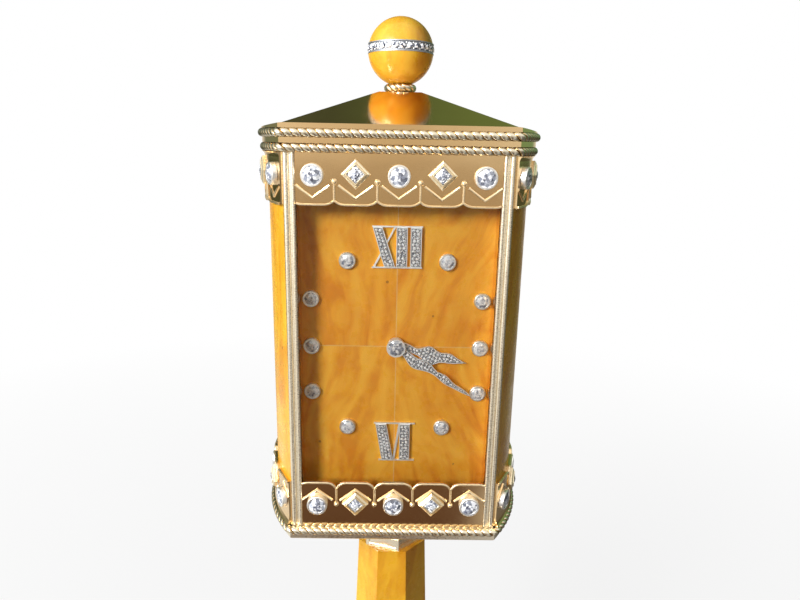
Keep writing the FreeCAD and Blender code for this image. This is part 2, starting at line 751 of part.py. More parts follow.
MINUTE_FLANKS = (
    [(4.8, 0.8), (7.3, 0.8), (10.4, 1.6), (14.5, 0.75), (17.0, 1.15), (20.2, 0.5), (23.6, 0.5)],
    [(4.6, 1.5), (7.3, 2.4), (10.4, 1.5), (14.2, 0.7), (18.2, 1.2), (21.0, 0.9), (23.8, 0.6)],
)
HOUR_FLANKS = (
    [(4.6, 1.15), (6.4, 0.85), (9.6, 2.35), (13.0, 1.3), (15.9, 1.65), (18.4, 0.85), (19.9, 0.35)],
    [(4.6, 0.9), (7.4, 1.4), (11.2, 3.2), (13.6, 1.8), (15.9, 1.35), (18.4, 0.85), (19.9, 0.35)],
)


def hand(flanks, length, neck, angle, back, ring_radius, bore):
    """Flame-shaped hand, drawn pointing to twelve and then turned to its hour."""
    upper = [Vector(-width, back, reach) for reach, width in flanks[0]]
    lower = [Vector(width, back, reach) for reach, width in flanks[1]]
    tip = Vector(0, back, length)
    left_root = Vector(-neck, back, 0)
    right_root = Vector(neck, back, 0)
    left_curve = Part.BSplineCurve()
    left_curve.interpolate([left_root] + upper + [tip])
    right_curve = Part.BSplineCurve()
    right_curve.interpolate([tip] + lower[::-1] + [right_root])
    outline = Part.Wire([left_curve.toShape(), right_curve.toShape(), line(right_root, left_root)])
    blade = Part.Face(outline).extrude(Vector(0, -HAND_THICKNESS, 0))
    boss = Part.makeCylinder(ring_radius, HAND_THICKNESS, Vector(0, back - HAND_THICKNESS, 0), BACKWARD)
    eye = Part.makeCylinder(bore, 4 * HAND_THICKNESS, Vector(0, back - 2 * HAND_THICKNESS, 0), BACKWARD)
    turned_hand = fuse([blade, boss]).cut(eye).rotated(ORIGIN, BACKWARD, angle)
    return turned_hand.translated(Vector(0, 0, CASE_BASE + HANDS_AXIS))


def hour_hand():
    return hand(HOUR_FLANKS, HOUR_LENGTH, 0.8, HOUR_ANGLE, HOUR_HAND_BACK, 2.5, HOUR_PIPE_RADIUS)


def minute_hand():
    """Minute hand with the round collet of the hub stone."""
    blade = hand(MINUTE_FLANKS, MINUTE_LENGTH, 0.8, MINUTE_ANGLE, MINUTE_HAND_BACK, 2.5,
                 MINUTE_ARBOR_RADIUS)
    face = MINUTE_HAND_BACK - HAND_THICKNESS
    centre = Vector(0, 0, CASE_BASE + HANDS_AXIS)
    cup = turned_forward([(0, face), (HUB_RADIUS - 0.4, face), (HUB_RADIUS, face - 0.3),
                          (HUB_RADIUS, face - 1.0), (HUB_STONE_RADIUS, face - 1.0),
                          (HUB_STONE_RADIUS - 0.4, face - 0.5), (0, face - 0.5)], centre)
    return fuse([blade, cup])


def hub_stone():
    girdle = MINUTE_HAND_BACK - HAND_THICKNESS - 1.0
    stone = cut_stone(HUB_STONE_RADIUS - 0.02, 8, girdle, 0.5, 0.45)
    return stone.translated(Vector(0, 0, CASE_BASE + HANDS_AXIS))


# Motion work

def involute(angle):
    return math.tan(angle) - angle


def gear(teeth, module, addendum, front, x, z, phase):
    """Spur gear in the XZ plane with involute flanks; phase turns a tooth off +Z."""
    pitch = teeth * module / 2
    base = pitch * math.cos(PRESSURE_ANGLE)
    tip = pitch + addendum * module
    root = pitch - 1.2 * module
    half_tooth = math.pi / (2 * teeth) - BACKLASH / (2 * pitch)

    def flank_angle(radius):
        if radius <= base:
            return half_tooth + involute(PRESSURE_ANGLE) - 0.5 * (base - radius) / base
        return half_tooth + involute(PRESSURE_ANGLE) - involute(math.acos(base / radius))

    radii = [root, pitch, tip]
    corners = []
    for tooth in range(teeth):
        middle = math.radians(phase) + 2 * math.pi * tooth / teeth
        flank = [(radius, middle - flank_angle(radius)) for radius in radii]
        flank += [(radius, middle + flank_angle(radius)) for radius in reversed(radii)]
        for radius, angle in flank:
            corners.append(Vector(x + radius * math.sin(angle), front, z + radius * math.cos(angle)))
    return Part.Face(closed_wire(corners)).extrude(Vector(0, WHEEL_THICKNESS, 0))


def forward_rod(radius, front, back, rise=0.0):
    """Round bar along Y on the centre line, rise above the hands' axis."""
    centre = Vector(0, front, CASE_BASE + HANDS_AXIS + rise)
    return Part.makeCylinder(radius, back - front, centre, BACKWARD)


def minute_arbor():
    """Cannon pinion on the arbor that carries the minute hand."""
    centre = CASE_BASE + HANDS_AXIS
    module = 2 * ARBOR_SPACING / (CANNON_TEETH + MINUTE_WHEEL_TEETH)
    pinion = gear(CANNON_TEETH, module, 0.9, MINUTE_LEVEL, 0, centre, 0)
    tip = MINUTE_HAND_BACK - HAND_THICKNESS
    rod_front = forward_rod(MINUTE_ARBOR_RADIUS, tip, MINUTE_LEVEL)
    collar = forward_rod(1.5, MINUTE_LEVEL + WHEEL_THICKNESS, -9.2)
    pivot = forward_rod(MINUTE_ARBOR_RADIUS, MINUTE_LEVEL, MOVEMENT_BACK - 0.4)
    return fuse([pinion, rod_front, collar, pivot])


def minute_wheel():
    """Intermediate wheel and pinion; its arbor runs out to the setting knob."""
    centre = CASE_BASE + HANDS_AXIS + ARBOR_SPACING
    module = 2 * ARBOR_SPACING / (CANNON_TEETH + MINUTE_WHEEL_TEETH)
    pinion_module = 2 * ARBOR_SPACING / (MINUTE_PINION_TEETH + HOUR_WHEEL_TEETH)
    wheel = gear(MINUTE_WHEEL_TEETH, module, 0.8, MINUTE_LEVEL, 0, centre, 180 + 180 / MINUTE_WHEEL_TEETH)
    pinion = gear(MINUTE_PINION_TEETH, pinion_module, 0.85, HOUR_LEVEL, 0, centre, 0)
    spacer = forward_rod(1.25, HOUR_LEVEL + WHEEL_THICKNESS, MINUTE_LEVEL, ARBOR_SPACING)
    arbor = forward_rod(IDLER_ARBOR_RADIUS, PLATE_BACK + 0.2, -2.8, ARBOR_SPACING)
    shoulder = forward_rod(1.4, MINUTE_LEVEL + WHEEL_THICKNESS, -9.2, ARBOR_SPACING)
    return fuse([wheel, pinion, spacer, arbor, shoulder])


def hour_wheel():
    """Hour wheel with the pipe that carries the hour hand."""
    centre = CASE_BASE + HANDS_AXIS
    module = 2 * ARBOR_SPACING / (MINUTE_PINION_TEETH + HOUR_WHEEL_TEETH)
    wheel = gear(HOUR_WHEEL_TEETH, module, 0.8, HOUR_LEVEL, 0, centre, 180 / HOUR_WHEEL_TEETH)
    pipe = forward_rod(HOUR_PIPE_RADIUS, HOUR_HAND_BACK - HAND_THICKNESS, HOUR_LEVEL)
    hub = forward_rod(2.0, PLATE_BACK + 0.2, HOUR_LEVEL)
    bore = forward_rod(MINUTE_ARBOR_RADIUS + RUNNING_GAP, -25, -10)
    return fuse([wheel, pipe, hub]).cut(bore)


def setting_knob():
    """Fluted knob on the back of the minute wheel's arbor."""
    rise = ARBOR_SPACING
    centre = Vector(0, -4.8, CASE_BASE + HANDS_AXIS + rise)
    flutes = 16
    corners = []
    for index in range(3 * flutes):
        angle = 2 * math.pi * index / (3 * flutes)
        reach = 4.15 if index % 3 == 0 else 4.6
        corners.append(centre + Vector(reach * math.sin(angle), 0, reach * math.cos(angle)))
    head = Part.Face(closed_wire(corners)).extrude(BACKWARD * 2.4)
    hub = forward_rod(2.2, -5.6, -4.8, rise)
    return head.fuse(hub).cut(forward_rod(IDLER_ARBOR_RADIUS, -6, -2.8, rise))


# Movement

def rounded_block(half, low, high, front, back, radius):
    block = case_box(-half, half, front, back, low, high)
    corners = [edge for edge in block.Edges if abs(edge.tangentAt(edge.FirstParameter).y) > 0.9]
    return block.makeFillet(radius, corners)


def movement_case():
    """Moulded box with a bay for the wheels in front and one for the cell behind."""
    body = rounded_block(MOVEMENT_HALF, MOVEMENT_LOW, MOVEMENT_HIGH, PLATE_BACK, MOVEMENT_BACK, 3.0)
    wheel_bay = rounded_block(20.5, 49.5, 78.6, PLATE_BACK, -9.0, 2.0)
    cell_bay = case_box(-23.1, 23.1, -16.8, MOVEMENT_BACK, 31.2, 43.4)
    minute_pivot = forward_rod(MINUTE_ARBOR_RADIUS + RUNNING_GAP, -10, MOVEMENT_BACK)
    idler_pivot = forward_rod(IDLER_ARBOR_RADIUS + RUNNING_GAP, -10, MOVEMENT_BACK, ARBOR_SPACING)
    return body.cut([wheel_bay, cell_bay, minute_pivot, idler_pivot])


def movement_cover():
    """Back cover with the hole for the setting arbor."""
    cover = rounded_block(MOVEMENT_HALF, 45.0, MOVEMENT_HIGH, MOVEMENT_BACK, COVER_BACK, 3.0)
    return cover.cut(forward_rod(IDLER_ARBOR_RADIUS + RUNNING_GAP, -8, -4, ARBOR_SPACING))


def battery():
    level = CASE_BASE + BATTERY_LEVEL
    start = Vector(-22.0, BATTERY_DEPTH, level)
    can = Part.makeCylinder(BATTERY_RADIUS, BATTERY_LENGTH, start, Vector(1, 0, 0))
    nub = Part.makeCylinder(1.9, 1.0, start + Vector(BATTERY_LENGTH, 0, 0), Vector(1, 0, 0))
    return can.fuse(nub)


def battery_contacts():
    """Spring blade at the flat end, plain blade at the nub."""
    low, high = BATTERY_LEVEL - 4.0, BATTERY_LEVEL + 4.0
    plus = case_box(22.5, 23.1, BATTERY_DEPTH - 3.5, BATTERY_DEPTH + 3.5, low, high)
    minus = case_box(-23.1, -22.6, BATTERY_DEPTH - 3.5, BATTERY_DEPTH + 3.5, low, high)
    bump_centre = Vector(-22.6, BATTERY_DEPTH, CASE_BASE + BATTERY_LEVEL)
    bump = Part.makeCylinder(2.2, 0.6, bump_centre, Vector(1, 0, 0))
    return Part.makeCompound([plus, minus.fuse(bump)])


# Rear door

def hinge_knuckle(low, high, tab_x0, tab_x1, tab_y0):
    """Rolled eye of the hinge with the tab that joins it to its leaf or post."""
    outline = polygon_wire(8, 2 * KNUCKLE_RADIUS, CASE_BASE + low)
    eye = Part.Face(outline).extrude(UP * (high - low)).translated(Vector(HINGE_X, HINGE_Y, 0))
    tab = case_box(tab_x0, tab_x1, tab_y0, HINGE_Y, low, high)
    bore = rod(HINGE_PIN_RADIUS + 0.05, CASE_BASE + low, CASE_BASE + high, HINGE_X, HINGE_Y)
    return eye.fuse(tab).cut(bore)


def rear_door():
    """Gold door with a sunk panel and two hinge eyes."""
    inside = DOOR_BACK - DOOR_THICKNESS
    leaf = case_box(-DOOR_HALF, DOOR_HALF, inside, DOOR_BACK, DOOR_LOW, DOOR_HIGH)
    panel = case_box(-23.6, 23.6, DOOR_BACK - 0.35, DOOR_BACK, DOOR_LOW + 4, DOOR_HIGH - 4)
    door = leaf.cut(panel)
    for level in HINGE_LEVELS:
        door = door.fuse(hinge_knuckle(level - 1.95, level + 1.95, -DOOR_HALF, HINGE_X + 1.0, inside + 0.5))
    return door


def hinge_pins():
    pins = []
    for level in HINGE_LEVELS:
        pins.append(rod(HINGE_PIN_RADIUS, CASE_BASE + level - 6.3, CASE_BASE + level + 6.3, HINGE_X, HINGE_Y))
    return Part.makeCompound(pins)


def door_knob():
    centre = Vector(25.5, 0, CASE_BASE + DIAL_SEAM)
    return turned_forward([(0, DOOR_BACK), (0.8, DOOR_BACK), (0.8, DOOR_BACK + 1.3), (1.6, DOOR_BACK + 2.1),
                           (1.3, DOOR_BACK + 3.1), (0, DOOR_BACK + 3.4)], centre)


# Finial

def finial_rope():
    level = CASE_BASE + CORNICE_TOP + ROOF_RISE + ROPE_RADIUS + 0.15
    turns = [2 * math.pi * (index + 0.5) / FINIAL_ROPE_FLATS for index in range(FINIAL_ROPE_FLATS)]
    return turned([(FINIAL_ROPE_RADIUS + ROPE_RADIUS * math.cos(turn), level + ROPE_RADIUS * math.sin(turn))
                   for turn in turns])


def ball_slice(low, high):
    """Part of the ball between two levels."""
    ball = Part.makeSphere(BALL_RADIUS, Vector(0, 0, CASE_BASE + BALL_CENTRE))
    slab = case_box(-20, 20, -20, 20, low, high)
    return ball.common(slab)


def finial_ball_lower():
    piece = ball_slice(BALL_SEAT, BALL_BAND[0])
    return piece.cut(rod(STUD_RADIUS + 0.05, CASE_BASE + 130, CASE_BASE + 150))


def finial_ball_band():
    """Ring for the row of stones: two lips with a channel between them."""
    low = CASE_BASE + BALL_BAND[0]
    high = CASE_BASE + BALL_BAND[1]
    lip = 0.3
    edge = BALL_RADIUS + 0.05
    bed = BALL_RADIUS - 0.3
    bore = STUD_RADIUS + 0.05
    return turned([(bore, low), (edge, low), (edge, low + lip), (bed, low + lip), (bed, high - lip),
                   (edge, high - lip), (edge, high), (bore, high)])


def finial_ball_upper():
    piece = ball_slice(BALL_BAND[1], BALL_CENTRE + BALL_RADIUS)
    return piece.cut(rod(STUD_RADIUS + 0.05, CASE_BASE + 140, CASE_BASE + 150))


def finial_stud():
    """Stud through the roof's boss, with its nut under the roof."""
    ceiling = CASE_BASE + CORNICE_TOP + ROOF_RISE - ROOF_CEILING
    shank = rod(STUD_RADIUS, ceiling - 2.2, CASE_BASE + BALL_CENTRE + 5.1)
    nut = hex_nut(4.4, STUD_RADIUS, ceiling - 1.75, ceiling - 0.05)
    return shank.fuse(nut)


ROUND_STEPS = (-2, 0, 2)
SQUARE_STEPS = (-1, 1)

NODES = {
    "foot_pad": foot_pad,
    "foot_plate": foot_plate,
    "foot_plinth": foot_plinth,
    "column_base": column_base,
    "column": column,
    "column_collar": column_collar,
    "tie_rod": tie_rod,
    "tie_rod_nuts": tie_rod_nuts,
    "case_floor": case_floor,
    "bottom_rope": lambda: rope_bead(*BOTTOM_ROPE),
    "post_front_left": lambda: corner_post(left=True, rear=False),
    "post_front_right": lambda: corner_post(left=False, rear=False),
    "post_rear_left": lambda: corner_post(left=True, rear=True),
    "post_rear_right": lambda: corner_post(left=False, rear=True),
    "cornice": cornice,
    "lower_rope": lambda: rope_bead(*LOWER_ROPE),
    "upper_rope": lambda: rope_bead(*UPPER_ROPE),
    "roof": roof,
    "finial_rope": finial_rope,
    "finial_ball_lower": finial_ball_lower,
    "finial_ball_band": finial_ball_band,
    "finial_ball_upper": finial_ball_upper,
    "finial_stud": finial_stud,
    "side_panel_left": lambda: side_panel(left=True),
    "side_panel_right": lambda: side_panel(left=False),
    "front_band_top": lambda: front_band(top=True),
    "front_band_bottom": lambda: front_band(top=False),
    "side_band_top_left": lambda: side_band(top=True, left=True),
    "side_band_top_right": lambda: side_band(top=True, left=False),
    "side_band_bottom_left": lambda: side_band(top=False, left=True),
    "side_band_bottom_right": lambda: side_band(top=False, left=False),
    "round_collets": lambda: around_bands(round_collet(), ROUND_STEPS),
    "round_stones": lambda: around_bands(round_stone(), ROUND_STEPS),
    "square_collets": lambda: around_bands(square_collet(), SQUARE_STEPS, SQUARE_RISE),
    "square_stones": lambda: around_bands(square_stone(), SQUARE_STEPS, SQUARE_RISE),
    "front_glass": front_glass,
    "dial_frame": dial_frame,
    "dial_upper_left": lambda: dial_quarter(left=True, low=False),
    "dial_upper_right": lambda: dial_quarter(left=False, low=False),
    "dial_lower_left": lambda: dial_quarter(left=True, low=True),
    "dial_lower_right": lambda: dial_quarter(left=False, low=True),
    "dial_plate": dial_plate,
    "numeral_twelve": numeral_twelve,
    "numeral_six": numeral_six,
    "marker_collets": lambda: on_dial(marker_collet()),
    "marker_stones": lambda: on_dial(marker_stone()),
    "hour_hand": hour_hand,
    "minute_hand": minute_hand,
    "hub_stone": hub_stone,
    "minute_arbor": minute_arbor,
    "minute_wheel": minute_wheel,
    "hour_wheel": hour_wheel,
    "setting_knob": setting_knob,
    "movement_case": movement_case,
    "movement_cover": movement_cover,
    "battery": battery,
    "battery_contacts": battery_contacts,
    "rear_door": rear_door,
    "hinge_pins": hinge_pins,
    "door_knob": door_knob,
}


def main():
    os.makedirs("parts", exist_ok=True)
    for name, make in NODES.items():
        shape = make()
        shape.exportStep(os.path.join("parts", name + ".step"))
        print(name, len(shape.Solids), "solids", round(shape.Volume, 1), "mm3", shape.isValid())


main()
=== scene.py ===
import math
import random

import bpy
import numpy as np
from mathutils import Matrix, Vector


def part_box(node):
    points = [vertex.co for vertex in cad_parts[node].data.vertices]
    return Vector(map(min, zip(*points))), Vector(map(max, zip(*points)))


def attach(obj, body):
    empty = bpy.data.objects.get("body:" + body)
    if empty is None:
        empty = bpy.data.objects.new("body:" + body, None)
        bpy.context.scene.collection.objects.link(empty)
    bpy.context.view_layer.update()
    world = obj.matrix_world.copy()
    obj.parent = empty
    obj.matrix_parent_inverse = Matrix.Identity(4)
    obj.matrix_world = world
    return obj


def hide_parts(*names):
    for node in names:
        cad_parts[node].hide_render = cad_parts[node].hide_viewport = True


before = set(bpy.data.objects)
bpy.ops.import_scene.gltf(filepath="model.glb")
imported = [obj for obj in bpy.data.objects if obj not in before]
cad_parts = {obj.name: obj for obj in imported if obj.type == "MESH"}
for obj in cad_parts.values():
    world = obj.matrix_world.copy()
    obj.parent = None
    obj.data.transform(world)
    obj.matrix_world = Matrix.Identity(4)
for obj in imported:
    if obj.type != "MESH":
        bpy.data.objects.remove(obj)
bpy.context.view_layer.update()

# Looks of the jewelled table clock. Metres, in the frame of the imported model.

MM = 0.001
UP = Vector((0, 0, 1))
FORWARD = Vector((0, -1, 0))
CHANCE = random.Random(11)

# Plan of the case
HALF_DEPTH = 27.5 * MM
SIDE_RADIUS = 48.7 * MM
SIDE_CENTRE = 9.2 * MM
AXIS_LEVEL = 220.0 * MM

# Bands: levels above the table, with the scallops' tips and cusps, the beads and the chevrons
BAND_FACE = 27.25 * MM
SIDE_BAND_RADIUS = 48.95 * MM
FRONT_PITCH = 11.5 * MM
SIDE_PITCH = 12.1 * MM
FRONT_REACH = 27.5 * MM
SIDE_REACH = 28.3 * MM
SCALLOPS = (-2, -1, 0, 1, 2)
TOP_LEVELS = {"tip": 261.8 * MM, "cusp": 262.9 * MM, "bead": 268.2 * MM,
              "chevron": (263.5 * MM, 266.95 * MM)}
BOTTOM_LEVELS = {"tip": 179.2 * MM, "cusp": 177.3 * MM, "bead": 171.9 * MM,
                 "chevron": (177.0 * MM, 173.4 * MM)}
NOTCH_HALF = 2.9 * MM
CHEVRON_HALF = 4.65 * MM
TRIM_WIDTH = 0.5 * MM

# Trims on the bands: sections as shares of half width and rise, lines as (half width, rise, section)
# and the beads' dome as (radius, height)
ROUND_SECTION = ((-1, -0.1), (-0.8, 0.62), (-0.4, 0.93), (0.4, 0.93), (0.8, 0.62), (1, -0.1))
KEEN_SECTION = ((-1, -0.1), (-0.66, 0.8), (0, 1.1), (0.66, 0.8), (1, -0.1))
EDGE_LINE = (0.34 * MM, 0.46 * MM, ROUND_SECTION)
FIELD_LINE = (0.34 * MM, 0.4 * MM, ROUND_SECTION)
CHEVRON_LINE = (0.4 * MM, 0.38 * MM, KEEN_SECTION)
DOME_PROFILE = ((0.82 * MM, -0.1 * MM), (0.82 * MM, 0.16 * MM), (0.68 * MM, 0.16 * MM),
                (0.66 * MM, 0.34 * MM), (0.52 * MM, 0.56 * MM), (0.28 * MM, 0.7 * MM))

# Ropes: two wires laid round each other
ROPE_RADIUS = 1.2 * MM
CASE_ROPE_FLATS = 10
FINIAL_ROPE_FLATS = 8
STRAND_OFFSET = 0.56 * MM
STRAND_HALF_HEIGHT = 0.64 * MM
STRAND_HALF_WIDTH = 0.86 * MM
ROPE_LEAD = 4.5 * MM
FINIAL_ROPE_LEAD = 4.1 * MM
RING_STEPS = 180
CORNER_REACH = 2.6 * MM
STEPS_PER_TURN = 16
STRAND_SIDES = 12

# Stones, with the share of a stone's facets that get a bright painted reflection
PAINTED_BRIGHT_SHARE = 0.36
ROUND_GIRDLE = 2.5 * MM
MARKER_GIRDLE = 1.95 * MM
SQUARE_HALF = 1.64 * MM
SQUARE_SETTING_HALF = 2.8 * MM
HUB_GIRDLE = 2.28 * MM
STONE_SINK = 0.86

# Pave work: small stones with beads between them on a sunk bed that is darkened as painted shade, inside a
# raised rim
PAVE_LARGEST = 0.5 * MM
PAVE_SMALLEST = 0.22 * MM
PAVE_GAP = 0.04 * MM
PAVE_SEARCH_STEP = 0.1 * MM
RIM_WIDTH = 0.2 * MM
RIM_HEIGHT = 0.22 * MM
BED_LIFT = 0.02 * MM
PAVE_LIFT = 0.14 * MM
BEAD_REACH = 0.12 * MM
BEAD_SHARE = 0.55
BEAD_PROFILE = ((0.13 * MM, 0), (0.12 * MM, 0.2 * MM), (0.06 * MM, 0.27 * MM))

# Depth of each hand's front face, behind what stands out from it
HAND_FACES = {"minute_hand": -22.5 * MM, "hour_hand": -21.25 * MM}

# Row of stones round the ball
BALL_STONE = 0.98 * MM
BALL_STONE_SINK = 0.28 * MM
BALL_BEAD_SINK = 0.33 * MM
BALL_BEAD_RISE = 0.75 * MM
BALL_BEAD_PROFILE = ((0.24 * MM, 0), (0.2 * MM, 0.22 * MM), (0.08 * MM, 0.3 * MM))

# Screws of the movement's cover, and half the width of the dial's pale joint lines
SCREW_RADIUS = 1.3 * MM
SEAM_HALF = 0.13 * MM


# Shapes

def placed(name, data):
    """New object at the origin."""
    made = bpy.data.objects.new(name, data)
    bpy.context.scene.collection.objects.link(made)
    return made


class Shape:
    """Vertices and faces of one piece, gathered from copies; each face has a value from 0 to 1,
    which is a facet's painted reflection on a stone, and on a wire of a rope its height, which the rope's
    material turns into painted highlight and painted shade."""

    def __init__(self):
        self.points = []
        self.faces = []
        self.painted_tones = []

    def add(self, part, place=Matrix()):
        points, faces, painted_tones = part
        start = len(self.points)
        self.points += [place @ Vector(point) for point in points]
        self.faces += [tuple(start + index for index in face) for face in faces]
        self.painted_tones += painted_tones or [0.5] * len(faces)

    def build(self, name, material, slot, replaces=(), smooth_below=None, body="clock_case"):
        mesh = bpy.data.meshes.new(name)
        mesh.from_pydata(self.points, [], self.faces)
        mesh.materials.append(material)
        # Per-face values that the stone and rope materials turn into painted reflection, painted highlight
        # and painted shade.
        painted_tone = mesh.attributes.new("painted_tone", "FLOAT", "FACE")
        painted_tone.data.foreach_set("value", self.painted_tones)
        if smooth_below:
            mesh.shade_smooth()
            mesh.set_sharp_from_angle(angle=math.radians(smooth_below))
        piece = placed(name, mesh)
        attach(piece, body)
        if replaces:
            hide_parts(*replaces)


def seat(centre, normal, turn=0.0):
    """Matrix from a local frame (right, up, outwards) to a place on the object."""
    right = UP.cross(normal).normalized()
    up = normal.cross(right)
    matrix = Matrix((right, up, normal)).transposed().to_4x4()
    matrix.translation = centre
    return matrix @ Matrix.Rotation(turn, 4, "Z")


def ring_points(count, radius, height, shift=0.0):
    angles = [math.tau * (index + shift) / count for index in range(count)]
    return [(radius * math.cos(angle), radius * math.sin(angle), height) for angle in angles]


def strip(first, second, count):
    """Four-sided faces between two rings of points that start at the given indices."""
    return [(first + k, first + (k + 1) % count, second + (k + 1) % count, second + k)
            for k in range(count)]


def turned(profile, sides):
    """Surface of revolution about the local outward axis, from (radius, height) points."""
    points = [point for radius, height in profile for point in ring_points(sides, radius, height)]
    last = (len(profile) - 1) * sides
    faces = []
    for start in range(0, last, sides):
        faces += strip(start, start + sides, sides)
    faces.append(tuple(range(sides - 1, -1, -1)))
    faces.append(tuple(range(last, last + sides)))
    return points, faces, None


def painted_sparkle(bright=PAINTED_BRIGHT_SHARE):
    """Painted reflection on one facet: bright, grey or dark."""
    pick = CHANCE.random()
    if pick < bright:
        return CHANCE.uniform(0.72, 1.0)
    if pick < bright + 0.3:
        return CHANCE.uniform(0.38, 0.64)
    return CHANCE.uniform(0.05, 0.35)


def painted_glint(white):
    """Painted reflection on a facet of a very small stone: nearly white, or nearly black."""
    return CHANCE.uniform(0.88, 1.0) if CHANCE.random() < white else CHANCE.uniform(0.0, 0.3)


def old_cut(radius, crown, bright):
    """Old-cut stone: small table with the culet showing, stars, kites, halves and a low pavilion."""
    points = ring_points(16, radius, 0)
    points += ring_points(8, 0.78 * radius, 0.55 * crown, 0.5)
    points += ring_points(8, 0.5 * radius, crown)
    points += ring_points(8, 0.17 * radius, 1.02 * crown, 0.5)
    points += ring_points(8, 0.4 * radius, -0.6 * crown)
    girdle = range(16)
    middle, table, culet, foot = (range(start, start + 8) for start in (16, 24, 32, 40))
    faces = [tuple(culet), tuple(reversed(foot))]
    for k in range(8):
        after = (k + 1) % 8
        faces.append((table[k], table[after], culet[k]))
        faces.append((culet[k], table[after], culet[after]))
        faces.append((table[after], table[k], middle[k]))
        faces.append((table[k], middle[k - 1], girdle[2 * k], middle[k]))
        faces.append((middle[k], girdle[2 * k], girdle[2 * k + 1]))
        faces.append((middle[k], girdle[2 * k + 1], girdle[2 * after]))
        faces.append((girdle[2 * k], foot[k], girdle[2 * k + 1]))
        faces.append((girdle[2 * k + 1], foot[k], foot[after], girdle[2 * after]))
    # Painted reflections on the facets: the first face takes the bright share itself, every other face a
    # bright, grey or dark value.
    painted_tones = [bright] + [painted_sparkle(bright) for _ in faces[1:]]
    return points, faces, painted_tones


def small_cut(radius, white=0.8):
    """Small brilliant for pave work, with large facets that carry painted reflections."""
    crown = 0.42 * radius
    points = ring_points(6, radius, 0) + ring_points(6, 0.6 * radius, crown, 0.5)
    points += ring_points(6, 0.5 * radius, -0.4 * radius) + [(0, 0, crown * 1.02)]
    girdle, table, foot = range(6), range(6, 12), range(12, 18)
    faces = [tuple(reversed(foot))]
    for k in range(6):
        after = (k + 1) % 6
        faces.append((girdle[k], girdle[after], table[k]))
        faces.append((girdle[after], table[after], table[k]))
        faces.append((girdle[after], girdle[k], foot[k], foot[after]))
    for k in (0, 2, 4):
        faces.append((table[k], table[k + 1], table[(k + 2) % 6], len(points) - 1))
    # Painted reflections: most facets nearly white, the rest nearly black.
    return points, faces, [painted_glint(white) for _ in faces]


def princess_cut(half, crown):
    """Square stone set on its corner: a low pyramid broken into many small facets."""
    cells = 6
    side = cells + 1
    points = []
    for row in range(side):
        for column in range(side):
            u = 2 * column / cells - 1
            v = 2 * row / cells - 1
            rise = crown * (1 - max(abs(u), abs(v)) ** 1.5)
            ripple = 0.12 * crown * CHANCE.uniform(-1, 1) if rise > 0 else 0
            points.append(((u - v) * half / math.sqrt(2), (u + v) * half / math.sqrt(2), rise + ripple))
    faces = []
    for row in range(cells):
        for column in range(cells):
            near = row * side + column
            far = near + side
            if (row + column) % 2:
                faces += [(near, near + 1, far + 1), (near, far + 1, far)]
            else:
                faces += [(near, near + 1, far), (near + 1, far + 1, far)]
    rim = list(range(cells)) + [cells + side * k for k in range(cells)]
    rim += [side ** 2 - 1 - k for k in range(cells)] + [side * (cells - k) for k in range(cells)]
    foot = range(len(points), len(points) + len(rim))
    points += [(points[index][0], points[index][1], -crown) for index in rim]
    for k in range(len(rim)):
        after = (k + 1) % len(rim)
        faces.append((rim[k], foot[k], foot[after], rim[after]))
    faces.append(tuple(reversed(foot)))
    # Painted reflections: every facet bright, grey or dark.
    return points, faces, [painted_sparkle() for _ in faces]


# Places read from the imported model

def merged(node):
    """Vertices of a node with the doubles along its edges joined, and its faces."""
    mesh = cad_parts[node].data
    found = {}
    places = []
    index_of = []
    for vertex in mesh.vertices:
        key = tuple(round(value / MM, 3) for value in vertex.co)
        if key not in found:
            found[key] = len(places)
            places.append(vertex.co.copy())
        index_of.append(found[key])
    faces = [(tuple(index_of[i] for i in face.vertices), face.normal.copy()) for face in mesh.polygons]
    return places, faces


def solids_of(node):
    """The separate solids of a node, as (centre of its base, outward direction, height)."""
    places, faces = merged(node)
    parent = list(range(len(places)))

    def root(index):
        while parent[index] != index:
            parent[index] = parent[parent[index]]
            index = parent[index]
        return index

    for face, _ in faces:
        for index in face[1:]:
            parent[root(index)] = root(face[0])
    groups = {}
    for index, place in enumerate(places):
        groups.setdefault(root(index), []).append(place)
    seats = []
    for members in groups.values():
        cloud = np.array(members)
        middle = (cloud.max(0) + cloud.min(0)) / 2
        axes = np.linalg.svd(cloud - cloud.mean(0))[2]
        normal = Vector(axes[2])
        normal.z = 0
        normal.normalize()
        if normal.dot(Vector((middle[0], middle[1] * 2, 0))) < 0:
            normal.negate()
        reach = [Vector(place).dot(normal) for place in members]
        centre = Vector(middle)
        centre += normal * (min(reach) - centre.dot(normal))
        seats.append((centre, normal, max(reach) - min(reach)))
    return sorted(seats, key=lambda found: (round(found[0].z, 4), round(found[0].x, 4)))


def front_faces(node, level):
    """Faces of a node that look forwards at one depth, with their outline edges."""
    places, faces = merged(node)
    flat = [face for face, normal in faces
            if normal.y < -0.99 and all(abs(places[i].y - level) < 0.02 * MM for i in face)]
    edges = [edge for face in flat for edge in zip(face, face[1:] + face[:1])]
    known = set(edges)
    outline = {start: end for start, end in edges if (end, start) not in known}
    loops = []
    while outline:
        start, after = outline.popitem()
        loop = [start]
        while after != start:
            loop.append(after)
            after = outline.pop(after)
        loops.append([places[i] for i in loop])
    return places, flat, loops


# Materials

def new_material(name, **values):
    """Material with a Principled shader whose sockets take the given values."""
    material = bpy.data.materials.new(name)
    material.use_nodes = True
    tree = material.node_tree
    principled = tree.nodes["Principled BSDF"]
    for socket, value in values.items():
        principled.inputs[socket.replace("_", " ")].default_value = value
    return material, tree, principled


